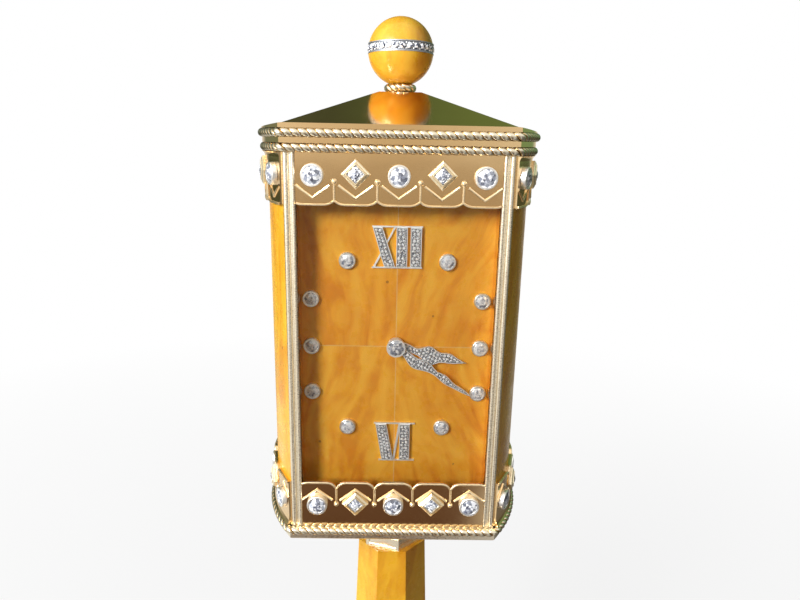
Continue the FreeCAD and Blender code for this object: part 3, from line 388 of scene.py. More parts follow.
def add_node(tree, kind, inputs=None, **settings):
    node = tree.nodes.new("ShaderNode" + kind)
    for key, value in settings.items():
        setattr(node, key, value)
    for key, value in (inputs or {}).items():
        if isinstance(value, bpy.types.NodeSocket):
            tree.links.new(value, node.inputs[key])
        else:
            node.inputs[key].default_value = value
    return node


def object_place(tree):
    return add_node(tree, "TexCoord").outputs["Object"]


def place_of(tree, scale=(1, 1, 1), turn=(0, 0, 0)):
    """Object coordinates, stretched and turned."""
    return add_node(tree, "Mapping", {"Vector": object_place(tree), "Scale": scale,
                                      "Rotation": turn}).outputs["Vector"]


def axes_of(tree, vector):
    """The x, y and z of a vector."""
    return add_node(tree, "SeparateXYZ", {"Vector": vector}).outputs[:]


def noise(tree, vector, scale, detail=3.0, rough=0.55, distort=0.0):
    return add_node(tree, "TexNoise", {"Vector": vector, "Scale": scale, "Detail": detail,
                                       "Roughness": rough, "Distortion": distort}).outputs["Fac"]


def ramp(tree, factor, stops):
    node = add_node(tree, "ValToRGB", {"Fac": factor})
    elements = node.color_ramp.elements
    while len(elements) < len(stops):
        elements.new(0.5)
    for element, (position, colour) in zip(elements, stops):
        element.position = position
        element.color = (*colour, 1)
    return node.outputs["Color"]


def blend_colours(tree, factor, first, second, mode="MIX"):
    node = add_node(tree, "Mix", {"Factor": factor}, data_type="RGBA", blend_type=mode)
    for socket, value in ((node.inputs[6], first), (node.inputs[7], second)):
        if isinstance(value, bpy.types.NodeSocket):
            tree.links.new(value, socket)
        else:
            socket.default_value = (*value, 1)
    return node.outputs[2]


def stepped(tree, value, low, high, first=0.0, last=1.0):
    """Maps a value between low and high to the range from first to last."""
    return add_node(tree, "MapRange", {"Value": value, "From Min": low, "From Max": high,
                                       "To Min": first, "To Max": last}).outputs["Result"]


def spread(tree, factor, first, last):
    """Maps noise, which lies around one half, to the range from first to last."""
    return stepped(tree, factor, 0.3, 0.7, first, last)


def maths(tree, operation, first, second=0.0):
    return add_node(tree, "Math", {0: first, 1: second}, operation=operation).outputs[0]


def mixed(tree, factor, first, second):
    """Mix of two shaders."""
    return add_node(tree, "MixShader", {0: factor, 1: first, 2: second}).outputs["Shader"]


def finished(tree, principled, colour, rough=None):
    """Textures for a shader's base colour and roughness."""
    tree.links.new(colour, principled.inputs["Base Color"])
    if rough is not None:
        tree.links.new(rough, principled.inputs["Roughness"])


def bumped(tree, principled, height, strength, distance):
    node = add_node(tree, "Bump", {"Height": height, "Strength": strength, "Distance": distance})
    tree.links.new(node.outputs["Normal"], principled.inputs["Normal"])


def gold(name, light, deep, rough, wave_size):
    """Polished gold: slow waves in the surface, fine scratches in the gloss."""
    material, tree, principled = new_material(name, Metallic=1.0)
    slow = noise(tree, place_of(tree), 1 / wave_size, 1.5, 0.4)
    fine = noise(tree, place_of(tree, (1, 1, 6)), 1400, 3, 0.7)
    finished(tree, principled, blend_colours(tree, slow, light, deep),
             spread(tree, fine, rough * 0.6, rough * 1.5))
    bumped(tree, principled, slow, 0.1, 0.4 * MM)
    return material


def rope_gold():
    """Gold wire with a painted highlight on its crest and painted shade where two wires meet."""
    material, tree, principled = new_material("gold_rope_painted_light", Metallic=1.0)
    painted_tone = add_node(tree, "Attribute", attribute_name="painted_tone")
    slow = noise(tree, place_of(tree), 400, 2.0)
    light = blend_colours(tree, slow, (0.78, 0.72, 0.59), (0.69, 0.61, 0.46))
    # Painted light from each face's height on the wire: dark painted shade down in the groove, white
    # painted highlight on the crest.
    painted_crest_and_groove = ramp(tree, painted_tone.outputs["Fac"],
                [(0.42, (0.16, 0.085, 0.03)), (0.62, (0.75, 0.55, 0.3)), (0.8, (1, 1, 1))])
    finished(tree, principled, blend_colours(tree, 1.0, light, painted_crest_and_groove, "MULTIPLY"),
             spread(tree, slow, 0.2, 0.34))
    return material


def warped(tree, place, size, amount):
    """Place moved by slow noise, so that streaks bend."""
    drift = add_node(tree, "TexNoise", {"Vector": place, "Scale": 1 / size, "Detail": 1.5})
    centred = add_node(tree, "VectorMath", {0: drift.outputs["Color"], 1: (0.5, 0.5, 0.5)},
                       operation="SUBTRACT").outputs["Vector"]
    moved = add_node(tree, "VectorMath", {0: centred, 1: (amount, amount, amount), 2: place},
                     operation="MULTIPLY_ADD")
    return moved.outputs["Vector"]


def amber(name, light, middle, deep, size, seams=False, turn=0):
    """Opaque honey amber: clouds with bent streaks drawn through them, and dark specks."""
    material, tree, principled = new_material(name, Roughness=0.3, IOR=1.42, Coat_Weight=0.14,
                                              Coat_Roughness=0.04, Subsurface_Weight=0.1,
                                              Subsurface_Scale=1.5 * MM,
                                              Subsurface_Radius=(1.0, 0.45, 0.1))
    place = place_of(tree, turn=(0, math.radians(turn), 0))
    bent = warped(tree, place, 1.8 * size, 1.1 * size)
    drawn = add_node(tree, "Mapping", {"Vector": bent, "Scale": (1, 1, 0.13)}).outputs["Vector"]
    clouds = noise(tree, bent, 1 / size, 2.5, 0.5, 0.6)
    streaks = noise(tree, drawn, 3.6 / size, 4.0, 0.6, 0.5)
    colour = ramp(tree, clouds, [(0.3, deep), (0.46, middle), (0.66, light)])
    veins = ramp(tree, streaks, [(0.36, deep), (0.48, middle), (0.62, light)])
    colour = blend_colours(tree, 0.62, colour, veins)
    cells = add_node(tree, "TexVoronoi", {"Vector": place_of(tree), "Scale": 210.0})
    near = maths(tree, "LESS_THAN", cells.outputs["Distance"], 0.085)
    seldom = maths(tree, "GREATER_THAN", noise(tree, place_of(tree), 90, 2.0), 0.58)
    specks = maths(tree, "MULTIPLY", maths(tree, "MULTIPLY", near, seldom), 0.75)
    colour = blend_colours(tree, specks, colour, (0.22, 0.07, 0.012))
    if seams:
        colour = with_seams(tree, colour)
    gloss = noise(tree, place_of(tree), 260)
    finished(tree, principled, colour, spread(tree, gloss, 0.2, 0.4))
    bumped(tree, principled, noise(tree, place_of(tree), 120, 2.0), 0.08, 0.3 * MM)
    return material


def with_seams(tree, colour):
    """Pale joint lines where the four quarters of the dial meet."""
    x, _, z = axes_of(tree, object_place(tree))
    lines = [maths(tree, "LESS_THAN", maths(tree, "ABSOLUTE", away), SEAM_HALF)
             for away in (x, maths(tree, "SUBTRACT", z, AXIS_LEVEL))]
    faint = maths(tree, "MULTIPLY", maths(tree, "MAXIMUM", *lines), 0.45)
    return blend_colours(tree, faint, colour, (0.95, 0.72, 0.4))


def stone_material(name, index, coat):
    """Clear stone: each facet shows a painted reflection, from dark blue grey to white."""
    material, tree, principled = new_material(name, Roughness=0.05, IOR=index, Coat_Weight=coat,
                                              Coat_Roughness=0.02)
    painted_tone = add_node(tree, "Attribute", attribute_name="painted_tone")
    # Painted reflections: the per-facet value, mottled by fine noise, picks the colour.
    cloud = spread(tree, noise(tree, place_of(tree), 1500, 2.0), -0.12, 0.12)
    colour = ramp(tree, maths(tree, "ADD", painted_tone.outputs["Fac"], cloud),
                  [(0.0, (0.03, 0.035, 0.06)), (0.35, (0.2, 0.22, 0.29)),
                   (0.62, (0.55, 0.58, 0.66)), (0.85, (0.94, 0.95, 0.98))])
    finished(tree, principled, colour)
    return material


def metal(name, colour, rough, grain=(1, 1, 1), grain_size=0.3):
    """Plain metal with a brushed or cut grain."""
    material, tree, principled = new_material(name, Metallic=1.0)
    lines = noise(tree, place_of(tree, grain), 1 / (grain_size * MM), 3.0, 0.6)
    darker = tuple(value * 0.85 for value in colour)
    finished(tree, principled, blend_colours(tree, lines, colour, darker),
             spread(tree, lines, rough * 0.7, rough * 1.4))
    bumped(tree, principled, lines, 0.1, 0.05 * MM)
    return material


def moulded():
    material, tree, principled = new_material("moulded_black", Roughness=0.5)
    grain = noise(tree, place_of(tree), 2600, 2.0)
    finished(tree, principled, blend_colours(tree, grain, (0.018, 0.018, 0.02), (0.035, 0.035, 0.038)),
             spread(tree, grain, 0.4, 0.6))
    bumped(tree, principled, grain, 0.25, 0.06 * MM)
    return material


def felt_material():
    material, tree, principled = new_material("felt_green", Roughness=0.95, Sheen_Weight=0.6)
    fibres = noise(tree, place_of(tree), 1800, 5.0, 0.75, 1.0)
    finished(tree, principled, blend_colours(tree, fibres, (0.01, 0.03, 0.016), (0.035, 0.075, 0.045)))
    bumped(tree, principled, fibres, 0.6, 0.2 * MM)
    return material


def cell_wrap():
    """Plain wrapped cell: dark body with a copper-coloured end."""
    material, tree, principled = new_material("cell_wrap", Metallic=0.6)
    x, _, _ = axes_of(tree, object_place(tree))
    colour = blend_colours(tree, stepped(tree, x, 8.0 * MM, 8.2 * MM), (0.03, 0.035, 0.045),
                           (0.55, 0.26, 0.1))
    wear = noise(tree, place_of(tree), 500)
    finished(tree, principled, colour, spread(tree, wear, 0.22, 0.4))
    return material


def glass_material():
    """Clear sheet: passes light straight through and reflects by angle."""
    material, tree, principled = new_material("clear_glass")
    tree.nodes.remove(principled)
    smears = noise(tree, place_of(tree, (1, 1, 0.4)), 60, 2.0)
    gloss = add_node(tree, "BsdfGlossy", {"Roughness": spread(tree, smears, 0.01, 0.05)})
    clear = add_node(tree, "BsdfTransparent", {"Color": (0.97, 0.975, 0.97, 1)})
    edge = add_node(tree, "Fresnel", {"IOR": 1.3})
    both = mixed(tree, edge.outputs["Fac"], clear.outputs["BSDF"], gloss.outputs["BSDF"])
    tree.links.new(both, tree.nodes["Material Output"].inputs["Surface"])
    return material


HONEY_LIGHT = (1.0, 0.52, 0.06)
HONEY = (0.9, 0.385, 0.03)
HONEY_DEEP = (0.74, 0.235, 0.015)

GOLD = gold("gold_polished", (0.94, 0.69, 0.38), (0.86, 0.59, 0.31), rough=0.12, wave_size=9 * MM)
TRIM_GOLD = gold("gold_trim", (0.93, 0.77, 0.52), (0.85, 0.67, 0.42), rough=0.34, wave_size=2 * MM)
SATIN_GOLD = gold("gold_satin", (0.98, 0.87, 0.66), (0.92, 0.78, 0.54), rough=0.34, wave_size=2 * MM)
POST_GOLD = gold("gold_post", (0.98, 0.9, 0.74), (0.92, 0.81, 0.62), rough=0.3, wave_size=4 * MM)
PALE_GOLD = gold("gold_pale", (0.95, 0.96, 0.98), (0.88, 0.89, 0.91), rough=0.5, wave_size=3 * MM)
WHITE_GOLD = gold("gold_white", (0.96, 0.95, 0.94), (0.88, 0.87, 0.85), rough=0.36, wave_size=2 * MM)
WIRE_GOLD = rope_gold()
# Metal bed under the pave stones, darkened to dark grey as painted shade in the gaps between the stones.
PAINTED_SHADE_PAVE_BED = metal("pave_bed_painted_shade", (0.34, 0.35, 0.38), 0.5, grain_size=0.2)
# Band under the ball's stones: its grey partly the metal's own colour, partly painted shade between the
# stones.
BAND_METAL_PAINTED_SHADE = metal("band_metal_painted_shade", (0.4, 0.42, 0.46), 0.5, grain_size=0.2)
AMBER = amber("amber_honey", (0.72, 0.42, 0.036), (0.65, 0.32, 0.017), (0.52, 0.2, 0.008), size=20 * MM)
STONE = stone_material("clear_stone_painted_reflections", 2.2, 0.5)
PAVE_STONE = stone_material("pave_stone_painted_reflections", 1.45, 0.1)
GLASS = glass_material()
STEEL = metal("steel_brushed", (0.62, 0.62, 0.63), 0.28, (1, 1, 12))
WHEEL_BRASS = metal("brass_cut", (0.8, 0.6, 0.3), 0.24, (1, 12, 1))
MOULDED = moulded()
FELT = felt_material()
CELL = cell_wrap()

# Lie of the amber's flames in each quarter of the dial, in degrees from upright
DIAL_TURNS = {"dial_upper_left": 6, "dial_upper_right": -24, "dial_lower_left": -10, "dial_lower_right": 20}

NODE_MATERIALS = {
    GOLD: ["foot_plate", "column_base", "cornice", "roof", "front_band_top",
           "front_band_bottom", "side_band_top_left", "side_band_top_right", "side_band_bottom_left",
           "side_band_bottom_right", "dial_frame", "dial_plate", "rear_door", "door_knob"],
    POST_GOLD: ["post_front_left", "post_front_right", "post_rear_left", "post_rear_right",
                "case_floor", "column_collar"],
    WIRE_GOLD: ["bottom_rope", "lower_rope", "upper_rope", "finial_rope"],
    PALE_GOLD: ["numeral_twelve", "numeral_six", "hour_hand", "minute_hand", "marker_collets"],
    WHITE_GOLD: ["round_collets", "square_collets"],
    BAND_METAL_PAINTED_SHADE: ["finial_ball_band"],
    AMBER: ["foot_plinth", "column", "finial_ball_lower", "finial_ball_upper", "side_panel_left",
            "side_panel_right"],
    STONE: ["round_stones", "square_stones", "marker_stones", "hub_stone"],
    GLASS: ["front_glass"],
    STEEL: ["tie_rod", "tie_rod_nuts", "finial_stud", "minute_arbor", "battery_contacts", "hinge_pins"],
    WHEEL_BRASS: ["minute_wheel", "hour_wheel"],
    MOULDED: ["setting_knob", "movement_case", "movement_cover"],
    CELL: ["battery"],
    FELT: ["foot_pad"],
}


def dress_nodes():
    """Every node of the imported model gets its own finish."""
    for material, names in NODE_MATERIALS.items():
        for name in names:
            set_material(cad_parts[name], material)
    for name, turn in DIAL_TURNS.items():
        made = amber(name + "_amber", HONEY_LIGHT, HONEY, HONEY_DEEP, 15 * MM, seams=True, turn=turn)
        set_material(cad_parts[name], made)


def set_material(piece, material):
    if not piece.material_slots:
        piece.data.materials.append(material)
    for slot in piece.material_slots:
        slot.material = material


# Ropes

def case_line(node):
    """Centre line of a rope round the case, anticlockwise from above, from its node's box."""
    low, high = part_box(node)
    level = (low.z + high.z) / 2
    depth = (high.y - low.y) / 2 - ROPE_RADIUS * math.cos(math.pi / CASE_ROPE_FLATS)
    radius = SIDE_RADIUS + depth - HALF_DEPTH
    front = math.sqrt(radius ** 2 - depth ** 2) - SIDE_CENTRE
    half_turn = math.asin(depth / radius)
    step = 0.2 * MM
    straight = np.linspace(-front, front, int(2 * front / step), endpoint=False)
    turns = np.linspace(-half_turn, half_turn, int(2 * half_turn * radius / step), endpoint=False)
    points = [(x, -depth, level) for x in straight]
    points += [(radius * math.cos(a) - SIDE_CENTRE, radius * math.sin(a), level) for a in turns]
    points += [(-x, -y, z) for x, y, z in points]
    return np.array(points)


def rounded(points, reach):
    """Closed line whose corners are rounded by a running mean."""
    step = np.linalg.norm(points[1] - points[0])
    half = int(reach / step / 2)
    return sum(np.roll(points, shift, axis=0) for shift in range(-half, half + 1)) / (2 * half + 1)


def even_steps(points, count):
    """Points at equal distances along a closed line."""
    closed = np.vstack([points, points[:1]])
    lengths = np.concatenate([[0], np.cumsum(np.linalg.norm(np.diff(closed, axis=0), axis=1))])
    wanted = np.linspace(0, lengths[-1], count, endpoint=False)
    return np.column_stack([np.interp(wanted, lengths, closed[:, axis]) for axis in range(3)])


def length_of(points):
    return np.linalg.norm(points - np.roll(points, 1, axis=0), axis=1).sum()


def twisted(points, lead):
    """Two wires laid round a closed level line; they fall to the right as seen from outside."""
    turns = round(length_of(points) / lead)
    count = turns * STEPS_PER_TURN
    line = even_steps(points, count)
    along = np.roll(line, -1, axis=0) - np.roll(line, 1, axis=0)
    along /= np.linalg.norm(along, axis=1)[:, None]
    outward = np.cross(along, (0, 0, 1))
    upward = np.array((0, 0, 1.0))
    pitch = math.tau * STRAND_OFFSET * turns / length_of(points)
    shape = Shape()
    for strand in range(2):
        angles = -math.tau * np.arange(count) / STEPS_PER_TURN + math.pi * strand
        radial = np.cos(angles)[:, None] * outward + np.sin(angles)[:, None] * upward
        sideways = -np.sin(angles)[:, None] * outward + np.cos(angles)[:, None] * upward
        heading = along - pitch * sideways
        heading /= np.linalg.norm(heading, axis=1)[:, None]
        across = np.cross(heading, radial)
        centre = line + STRAND_OFFSET * radial
        rings = []
        for side in range(STRAND_SIDES):
            around = math.tau * side / STRAND_SIDES
            rings.append(centre + STRAND_HALF_HEIGHT * math.cos(around) * radial
                         + STRAND_HALF_WIDTH * math.sin(around) * across)
        tube = np.stack(rings, axis=1).reshape(-1, 3)
        faces = []
        for step in range(count):
            after = (step + 1) % count
            faces += strip(step * STRAND_SIDES, after * STRAND_SIDES, STRAND_SIDES)
        # Height of each face on its wire, which the rope material turns into painted shade and painted
        # highlight.
        heights = [math.cos(math.tau * (side + 0.5) / STRAND_SIDES) for side in range(STRAND_SIDES)]
        shape.add((tube.tolist(), faces, [0.5 + 0.5 * height for height in heights] * count))
    return shape


def make_ropes():
    for node in ("bottom_rope", "lower_rope", "upper_rope"):
        line = rounded(case_line(node), CORNER_REACH)
        twisted(line, ROPE_LEAD).build("twisted_" + node, WIRE_GOLD, "gold", [node], 60)
    low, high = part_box("finial_rope")
    radius = (high.x - low.x) / 2 - ROPE_RADIUS * math.cos(math.pi / FINIAL_ROPE_FLATS)
    ring = np.array(ring_points(RING_STEPS, radius, (low.z + high.z) / 2))
    rope = twisted(ring, FINIAL_ROPE_LEAD)
    rope.build("twisted_finial_rope", WIRE_GOLD, "gold", ["finial_rope"], 60)


# Trims on the bands: raised lines in the plane of a band, as (place along it, level) points

def on_front(along, outward, level):
    return Vector((along, -BAND_FACE - outward, level))


def on_right(along, outward, level):
    turn = along / SIDE_BAND_RADIUS
    reach = SIDE_BAND_RADIUS + outward
    return Vector((reach * math.cos(turn) - SIDE_CENTRE, reach * math.sin(turn), level))


def on_left(along, outward, level):
    place = on_right(-along, outward, level)
    return Vector((-place.x, place.y, place.z))


def raised_line(points, surface, half_width, rise, section):
    """Solid line on a band with a mitre at every point."""
    line = [Vector(point) for point in points]
    runs = [(end - start).normalized() for start, end in zip(line, line[1:])]
    places = []
    for index, point in enumerate(line):
        before = runs[max(index - 1, 0)]
        after = runs[min(index, len(runs) - 1)]
        mitre = Vector((-before.y - after.y, before.x + after.x)).normalized()
        mitre /= max(mitre.dot(Vector((-before.y, before.x))), 0.6)
        for across, height in section:
            spot = point + mitre * across * half_width
            places.append(surface(spot.x, height * rise, spot.y))
    count = len(section)
    faces = [tuple(range(count)), tuple(len(places) - 1 - k for k in range(count))]
    for start in range(0, len(places) - count, count):
        for k in range(count):
            after = (k + 1) % count
            faces.append((start + k, start + count + k, start + count + after, start + after))
    return places, faces, None


def scallop_line(reach, pitch, tip, cusp):
    """Edge of a band: flat tips with two arcs that meet in a cusp between them."""
    rise = abs(cusp - tip)
    toward = 1 if cusp > tip else -1
    radius = (NOTCH_HALF ** 2 + rise ** 2) / (2 * rise)
    stations = {-reach, reach}
    for step in (-3,) + SCALLOPS:
        for share in np.linspace(-1, 1, 9):
            stations.add((step + 0.5) * pitch + share * NOTCH_HALF)
    points = []
    for along in sorted(stations):
        if abs(along) > reach:
            continue
        boundary = (math.floor(along / pitch) + 0.5) * pitch
        inward = max(NOTCH_HALF - abs(along - boundary), 0)
        level = tip + toward * (radius - math.sqrt(radius ** 2 - inward ** 2))
        points.append((along, level + toward * TRIM_WIDTH / 2))
    return points


def bead_on(surface, along, level):
    """Small dome in a sunk ring."""
    centre = surface(along, 0, level)
    normal = (surface(along, MM, level) - centre).normalized()
    return turned(DOME_PROFILE, 16), seat(centre, normal)


def band_trims(name, surface, reach, pitch, levels):
    """Rim along the scallops, and in every field a chevron, with a beaded line between fields."""
    shape = Shape()
    edge = scallop_line(reach, pitch, levels["tip"], levels["cusp"])
    shape.add(raised_line(edge, surface, *EDGE_LINE))
    tip, ends = levels["chevron"]
    drop = math.copysign(0.6 * TRIM_WIDTH, ends - tip)
    for step in SCALLOPS:
        middle = step * pitch
        half = min(CHEVRON_HALF, reach - abs(middle))
        low = tip + (ends - tip) * half / CHEVRON_HALF + drop
        bend = [(middle - half, low), (middle, tip + drop), (middle + half, low)]
        shape.add(raised_line(bend, surface, *CHEVRON_LINE))
    for step in SCALLOPS[:-1]:
        along = (step + 0.5) * pitch
        line = [(along, levels["cusp"]), (along, levels["bead"])]
        shape.add(raised_line(line, surface, *FIELD_LINE))
        shape.add(*bead_on(surface, along, levels["bead"]))
    shape.build("trim_" + name, TRIM_GOLD, "gold", smooth_below=30)


def make_trims():
    for place, levels in (("top", TOP_LEVELS), ("bottom", BOTTOM_LEVELS)):
        band_trims("front_" + place, on_front, FRONT_REACH, FRONT_PITCH, levels)
        band_trims("right_" + place, on_right, SIDE_REACH, SIDE_PITCH, levels)
        band_trims("left_" + place, on_left, SIDE_REACH, SIDE_PITCH, levels)


# Stones in collets

def bezel(radius, wall, height):
    """Collet with a rounded lip that leans over the stone."""
    outer = radius + wall
    return [(outer, 0), (outer, 0.72 * height), (outer - 0.1 * wall, 0.9 * height),
            (outer - 0.4 * wall, height), (radius - 0.02 * MM, height), (radius - 0.1 * MM, 0.9 * height),
            (radius - 0.15 * MM, 0.45 * height)]


def set_round(name, girdle, wall, crown, bright):
    """Collets with old-cut stones in place of the nodes NAME_collets and NAME_stones."""
    metalwork = Shape()
    gems = Shape()
    for centre, normal, height in solids_of(name + "_collets"):
        metalwork.add(turned(bezel(girdle, wall, height), 40), seat(centre, normal))
        lifted = seat(centre + normal * STONE_SINK * height, normal, CHANCE.uniform(0, math.pi))
        gems.add(old_cut(girdle * 0.985, crown, bright), lifted)
    metalwork.build(name + "_settings", WHITE_GOLD, "gold", [name + "_collets"], 35)
    gems.build(name + "_gems", STONE, "stones", [name + "_stones"])


def square_setting(height):
    """Bevelled square on its corner, a groove, and a raised frame round the stone."""
    outer = SQUARE_SETTING_HALF
    inner = SQUARE_HALF
    levels = [(outer, 0), (outer, 0.52 * height), (outer - 0.1 * MM, 0.6 * height),
              (inner + 0.62 * MM, 0.82 * height), (inner + 0.54 * MM, 0.6 * height),
              (inner + 0.46 * MM, 0.6 * height), (inner + 0.4 * MM, 0.94 * height),
              (inner + 0.3 * MM, height), (inner + 0.06 * MM, height), (inner, 0.5 * height)]
    return turned([(across * math.sqrt(2), rise) for across, rise in levels], 4)


def set_square():
    metalwork = Shape()
    gems = Shape()
    for centre, normal, height in solids_of("square_collets"):
        metalwork.add(square_setting(height), seat(centre, normal))
        lifted = seat(centre + normal * STONE_SINK * height, normal)
        gems.add(princess_cut(SQUARE_HALF * 0.99, 0.6 * MM), lifted)
    metalwork.build("square_settings", SATIN_GOLD, "gold", ["square_collets"])
    gems.build("square_gems", STONE, "stones", ["square_stones"])


def set_hub():
    low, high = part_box("hub_stone")
    crown = 0.5 * MM
    centre = Vector(((low.x + high.x) / 2, low.y + crown, (low.z + high.z) / 2))
    gem = Shape()
    gem.add(old_cut(HUB_GIRDLE, crown, PAINTED_BRIGHT_SHARE), seat(centre, FORWARD))
    gem.build("hub_gem", STONE, "stones", ["hub_stone"], body="minute_hand_arbor")


# Pave work

def edges_of(loops):
    """Edges of an outline, as pairs of points (x, z)."""
    for loop in loops:
        ends = np.array([(place.x, place.z) for place in loop])
        yield from zip(ends, np.roll(ends, -1, axis=0))


def distance_to_outline(points, loops):
    """Least distance from each point (x, z) to the outline."""
    least = np.full(len(points), 1.0)
    for start, end in edges_of(loops):
        edge = end - start
        square = max(edge @ edge, 1e-16)
        share = np.clip(((points - start) @ edge) / square, 0, 1)
        least = np.minimum(least, np.linalg.norm(points - start - share[:, None] * edge, axis=1))
    return least


def inside_outline(points, loops):
    """True where a point (x, z) lies within the outline, by the number of crossings."""
    inside = np.zeros(len(points), bool)
    for start, end in edges_of(loops):
        run, rise = end - start
        if abs(rise) > 1e-12:
            spans = (start[1] > points[:, 1]) != (end[1] > points[:, 1])
            crossing = start[0] + (points[:, 1] - start[1]) * run / rise
            inside ^= spans & (points[:, 0] < crossing)
    return inside


def pack_stones(loops):
    """Places and radii of stones that fill an outline, large ones first and in rows."""
    ends = np.array([start for start, _ in edges_of(loops)])
    (left, bottom), (right, top) = ends.min(0), ends.max(0)
    grid = np.array([(x, z) for z in np.arange(top, bottom, -PAVE_SEARCH_STEP)
                     for x in np.arange(left, right, PAVE_SEARCH_STEP)])
    grid = grid[inside_outline(grid, loops)]
    room = distance_to_outline(grid, loops) - RIM_WIDTH - PAVE_GAP / 2
    stones = []
    while len(room) and room.max() > PAVE_SMALLEST:
        best = room.max()
        wanted = min(PAVE_LARGEST, best * 0.97)
        pick = int(np.argmax(room >= wanted))
        radius = min(room[pick], PAVE_LARGEST)
        stones.append((grid[pick][0], grid[pick][1], radius))
        gap = np.linalg.norm(grid - grid[pick], axis=1) - radius - PAVE_GAP
        room = np.minimum(room, gap)
    return stones


def rim_of(loops, level):
    """Raised edge that follows the outline, just inside it."""
    shape = Shape()
    for loop in loops:
        count = len(loop)
        points = []
        for index, place in enumerate(loop):
            before = loop[index - 1]
            after = loop[(index + 1) % count]
            inward = Vector((0, 0, 0))
            for start, end in ((before, place), (place, after)):
                run = (end - start).normalized()
                inward += Vector((-run.z, 0, run.x))
            inward *= RIM_WIDTH / max(inward.length_squared / 2, 0.5)
            outer = Vector((place.x, level, place.z))
            inner = outer + inward
            lift = FORWARD * RIM_HEIGHT
            points += [outer, outer + lift, inner + lift, inner]
        faces = []
        for index in range(count):
            faces += strip(4 * index, 4 * ((index + 1) % count), 4)
        shape.add((points, faces, None))
    return shape


def pave(node, body):
    """Rim, dark bed, stones and beads on the front face of a node; the bed's dark grey is painted shade
    between the stones.
    """
    low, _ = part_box(node)
    level = HAND_FACES.get(node, low.y)
    places, flat, loops = front_faces(node, level)
    rim_of(loops, level).build(node + "_rim", PALE_GOLD, "gold", body=body)
    # Bed of painted shade: a dark sheet just over the face, seen in the gaps between the stones.
    bed = Shape()
    bed.add(([place + FORWARD * BED_LIFT for place in places], flat, None))
    bed.build(node + "_bed", PAINTED_SHADE_PAVE_BED, "pave", body=body)
    gems = Shape()
    beads = Shape()
    stones = pack_stones(loops)
    for x, z, radius in stones:
        centre = Vector((x, level, z)) + FORWARD * PAVE_LIFT
        gems.add(small_cut(radius), seat(centre, FORWARD, CHANCE.uniform(0, math.pi)))
    for first, (x, z, radius) in enumerate(stones):
        for other_x, other_z, other_radius in stones[first + 1:]:
            apart = math.hypot(other_x - x, other_z - z)
            if apart < radius + other_radius + BEAD_REACH and CHANCE.random() < BEAD_SHARE:
                share = radius / (radius + other_radius)
                side = CHANCE.choice((-1, 1)) * 0.3 * min(radius, other_radius) / apart
                bead_x = x + (other_x - x) * share - (other_z - z) * side
                bead_z = z + (other_z - z) * share + (other_x - x) * side
                beads.add(turned(BEAD_PROFILE, 6), seat(Vector((bead_x, level, bead_z)), FORWARD))
    gems.build(node + "_gems", PAVE_STONE, "stones", body=body)
    beads.build(node + "_beads", WHITE_GOLD, "pave", body=body)


def pave_ball():
    """Row of stones round the ball, with two rows of beads between them."""
    low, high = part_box("finial_ball_band")
    radius = (high.x - low.x) / 2
    level = (low.z + high.z) / 2
    count = int(math.tau * radius / (2.06 * BALL_STONE))
    gems = Shape()
    beads = Shape()
    for normal in map(Vector, ring_points(count, 1, 0)):
        centre = normal * (radius - BALL_STONE_SINK) + UP * level
        # Fewer nearly white painted reflections on the ball's stones than in pave work.
        gems.add(small_cut(BALL_STONE, 0.55), seat(centre, normal, CHANCE.uniform(0, math.pi)))
    for normal in map(Vector, ring_points(count, 1, 0, 0.5)):
        for rise in (-BALL_BEAD_RISE, BALL_BEAD_RISE):
            centre = normal * (radius - BALL_BEAD_SINK) + UP * (level + rise)
            beads.add(turned(BALL_BEAD_PROFILE, 8), seat(centre, normal))
    gems.build("ball_band_gems", PAVE_STONE, "stones")
    beads.build("ball_band_beads", PALE_GOLD, "pave")


# Small screws on the movement's cover, seen when the rear door is open

def slotted_screw(radius):
    """Domed head with a slot, as two halves with a gap between them."""
    slot = 0.14 * radius
    shape = Shape()
    for side in (-1, 1):
        profile = []
        for index in range(9):
            angle = math.pi * index / 8
            reach = slot + (radius - slot) * math.sin(angle)
            profile.append((radius * math.cos(angle), side * reach))
        points = [(x, y, 0) for x, y in profile] + [(x, y, 0.32 * radius) for x, y in profile]
        points += [(0.8 * x, 0.84 * y, 0.44 * radius) for x, y in profile]
        count = len(profile)
        faces = [tuple(range(count - 1, -1, -1)), tuple(range(2 * count, 3 * count))]
        for start in (0, count):
            faces += strip(start, start + count, count)
        shape.add((points, [face if side > 0 else face[::-1] for face in faces], None))
    return shape.points, shape.faces, None


def make_screws():
    low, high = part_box("movement_cover")
    inset = 2 * SCREW_RADIUS
    screws = Shape()
    for x in (low.x + inset, high.x - inset):
        for z in (low.z + inset, high.z - inset):
            turn = CHANCE.uniform(0, math.pi)
            screws.add(slotted_screw(SCREW_RADIUS), seat(Vector((x, high.y, z)), -FORWARD, turn))
    screws.build("cover_screws", STEEL, "steel")


# Stage: the cream that the gold mirrors straight behind the clock, painted into the floor's reflection and
# set in the world, and the place of the photograph's camera

CREAM = (0.8, 0.73, 0.6)
EYE = Vector((-1.55, -193.2, 279.2)) * MM


